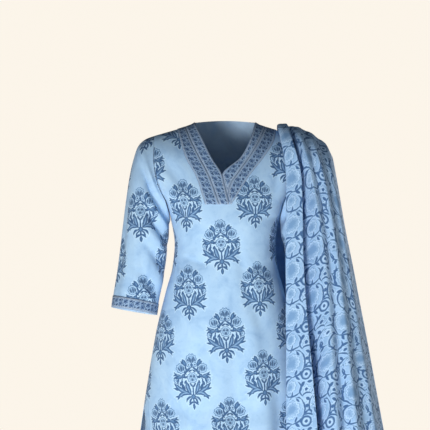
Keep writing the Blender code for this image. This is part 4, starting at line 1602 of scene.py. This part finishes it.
def add_border(name, strip, lines, border, thread, flip=False):
    """A border strip as a piece of cloth, with its stitching."""
    piece = grid_piece(name, strip, BORDER_WALL, (border, border), [name], flip)
    sewn = add_stitching(name + "_stitching", lines, BORDER_WALL, thread)


def add_neck_border(left, right, foot, border, thread):
    """The four strips of the neck border, raised from the front under them."""
    start = CELLS_TO_ARMHOLE
    cells = CELLS_BETWEEN_LINES
    strips = (
        ("neck_border_right_outer", left, foot, start),
        ("neck_border_right_inner", left, foot, start + cells),
        ("neck_border_left_inner", right, foot + 1, 0),
        ("neck_border_left_outer", right, foot, cells),
    )
    for name, grid, low, first in strips:
        part = (slice(low, None), slice(first, first + cells + 1))
        strip = raised(grid.points[part], grid.normals()[part])
        across = lengths(strip.points, X_Y_Z, 0)
        along = lengths_down(strip.points, X_Y_Z, 0)
        middle = along.shape[1] // 2
        lay_strip(strip, across, along[:, middle : middle + 1], across[:, -1:])
        strip.points[:, 0, 0] += BORDER_INSET
        strip.points[:, -1, 0] -= BORDER_INSET
        normals = strip.normals()
        lines = border_lines(strip.points, normals)
        lines.append(inset_line(turned(strip.points), turned(normals), BORDER_STITCH))
        add_border(name, strip, lines, border, thread)


def add_sleeve_border(side, flip, grid, border, thread):
    """The strip round a sleeve's hem, raised from the sleeve's last rings."""
    closed = []
    for values in (grid.points, grid.normals(flip)):
        closed.append(np.concatenate([values, values[:, :1]], axis=1)[-SLEEVE_BORDER_RINGS - 1 :])
    strip = raised(*closed)
    down = lengths_down(strip.points, X_Y_Z, 0)
    lay_strip(strip, down, lengths(strip.points, X_Y_Z, 0)[:1], down[-1:])
    lines = border_lines(turned(strip.points), turned(strip.normals(flip)))
    add_border(f"sleeve_border_{side}", strip, lines, border, thread, flip)


def add_kurti(cotton, border, reverse, thread):
    """The front, the back, the sleeves and their borders, with their stitching."""
    left, right, armpit, foot, vertex_row = front_grids()
    back = back_grid()
    measure_panel([left, right], 1)
    measure_panel([back], 2)
    sides = (cotton, reverse)
    shape = joined_front(left, right, vertex_row)
    front_piece = cloth_piece("front_cloth", shape, KURTI_WALL, sides, ["kurti_front"])
    back_piece = grid_piece("back", back, KURTI_WALL, sides, ["kurti_back"], flip=True)
    slit_row = int(np.argmin(np.abs(left.points[:, 0, 2] - SLIT_HEIGHT)))
    lines = hem_lines(left, False, slit_row, ("left",)) + hem_lines(right, False, slit_row, ("right",))
    front_thread = add_stitching("front_stitching", lines, KURTI_WALL, thread)
    lines = hem_lines(back, True, slit_row, ("left", "right"))
    back_thread = add_stitching("back_stitching", lines, KURTI_WALL, thread)
    add_neck_border(left, right, foot, border, thread)
    for side, sign, front in (("right", -1, left), ("left", 1, right)):
        grid = sleeve_grid(sign, front, back, armpit)
        name = f"sleeve_{side}"
        piece = grid_piece(name, grid, KURTI_WALL, sides, [name], flip=sign < 0)
        add_sleeve_border(side, sign < 0, grid, border, thread)


def add_dupatta(muslin, reverse):
    nodes = ["dupatta_front", "dupatta_shoulder", "dupatta_back"]
    piece = grid_piece("dupatta", dupatta_grid(), DUPATTA_WALL, (muslin, reverse), nodes)


def add_stage():
    """A plain pale floor where the wearer would stand, which fades into the room's cream."""
    bpy.ops.mesh.primitive_circle_add(
        vertices=FLOOR_CORNERS, radius=FLOOR_RADIUS, fill_type="NGON", location=(0, 0, FLOOR_HEIGHT)
    )
    floor = bpy.context.object
    floor.name = "floor"
    material, tree, shader = new_material("floor_paper")
    shader.inputs["Base Color"].default_value = CREAM
    shader.inputs["Emission Color"].default_value = CREAM
    shader.inputs["Emission Strength"].default_value = FLOOR_GLOW
    glow = add_node(tree, "Emission", {"Color": CREAM})
    place = add_node(tree, "TexCoord", {})
    away = vector_node(tree, "LENGTH", place.outputs["Object"], out="Value")
    inputs = {0: away, **dict(enumerate(FLOOR_FADE, 1))}
    fade = add_node(tree, "MapRange", inputs, interpolation_type="SMOOTHSTEP")
    mix = add_node(tree, "MixShader", {0: fade.outputs[0], 1: shader.outputs[0], 2: glow.outputs[0]})
    tree.links.new(mix.outputs[0], tree.nodes["Material Output"].inputs[0])
    floor.data.materials.append(material)


def add_world():
    """Plain cream behind the object, and soft white light on it."""
    world = bpy.data.worlds.new("studio")
    bpy.context.scene.world = world
    world.use_nodes = True
    tree = world.node_tree
    tree.nodes.clear()
    way = add_node(tree, "TexCoord", {})
    height = parts_of(tree, way.outputs["Generated"])[2]
    fall = add_node(tree, "MapRange", {0: height, **dict(enumerate(SKY_FALL, 1))})
    light = add_node(tree, "Background", {0: SKY_WHITE, 1: fall.outputs[0]})
    seen = add_node(tree, "Background", {0: CREAM})
    ray = add_node(tree, "LightPath", {})
    inputs = {0: ray.outputs["Is Camera Ray"], 1: light.outputs[0], 2: seen.outputs[0]}
    mix = add_node(tree, "MixShader", inputs)
    add_node(tree, "OutputWorld", {0: mix.outputs[0]})


def add_light(name, place, aim, size, power, colour):
    light = bpy.data.lights.new(name, "AREA")
    light.shape = "DISK"
    light.size = size
    light.energy = power
    light.color = colour
    lamp = bpy.data.objects.new(name, light)
    bpy.context.scene.collection.objects.link(lamp)
    lamp.visible_camera = False
    lamp.location = place
    away = np.array(place) - np.array(aim)
    flat = math.hypot(away[0], away[1])
    lamp.rotation_euler = (math.atan2(flat, away[2]), 0, math.atan2(away[0], -away[1]))


def add_lights():
    for lamp in LIGHTS:
        add_light(*lamp)


def add_camera():
    camera = bpy.data.cameras.new("camera")
    camera.sensor_width = SENSOR
    camera.lens = SENSOR * CAMERA_DISTANCE / FRAME_WIDTH
    eye = bpy.data.objects.new("camera", camera)
    bpy.context.scene.collection.objects.link(eye)
    eye.location = (FRAME_CENTRE[0], -CAMERA_DISTANCE, FRAME_CENTRE[1])
    eye.rotation_euler = (math.pi / 2, 0, 0)
    bpy.context.scene.camera = eye


def build_scene():
    """The camera, all the cloth with its materials, and the stage and light round it."""
    add_camera()
    cotton = kurti_cotton()
    border = border_cotton()
    muslin = dupatta_muslin()
    reverse = reverse_cloth("kurti_reverse", REVERSE, GROUND_DEEP, GROUND_PALE)
    reverse_muslin = reverse_cloth("dupatta_reverse", MUSLIN, MUSLIN_DEEP, MUSLIN_PALE)
    add_kurti(cotton, border, reverse, sewing_thread())
    add_dupatta(muslin, reverse_muslin)
    add_stage()
    add_world()
    add_lights()
    bpy.context.scene.view_settings.view_transform = "Standard"


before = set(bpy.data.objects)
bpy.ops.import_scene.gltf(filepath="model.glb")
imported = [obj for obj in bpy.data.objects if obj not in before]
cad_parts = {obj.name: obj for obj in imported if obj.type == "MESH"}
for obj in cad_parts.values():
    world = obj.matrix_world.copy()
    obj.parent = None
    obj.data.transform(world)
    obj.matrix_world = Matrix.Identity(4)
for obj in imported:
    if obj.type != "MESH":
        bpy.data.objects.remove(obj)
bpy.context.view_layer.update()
build_scene()
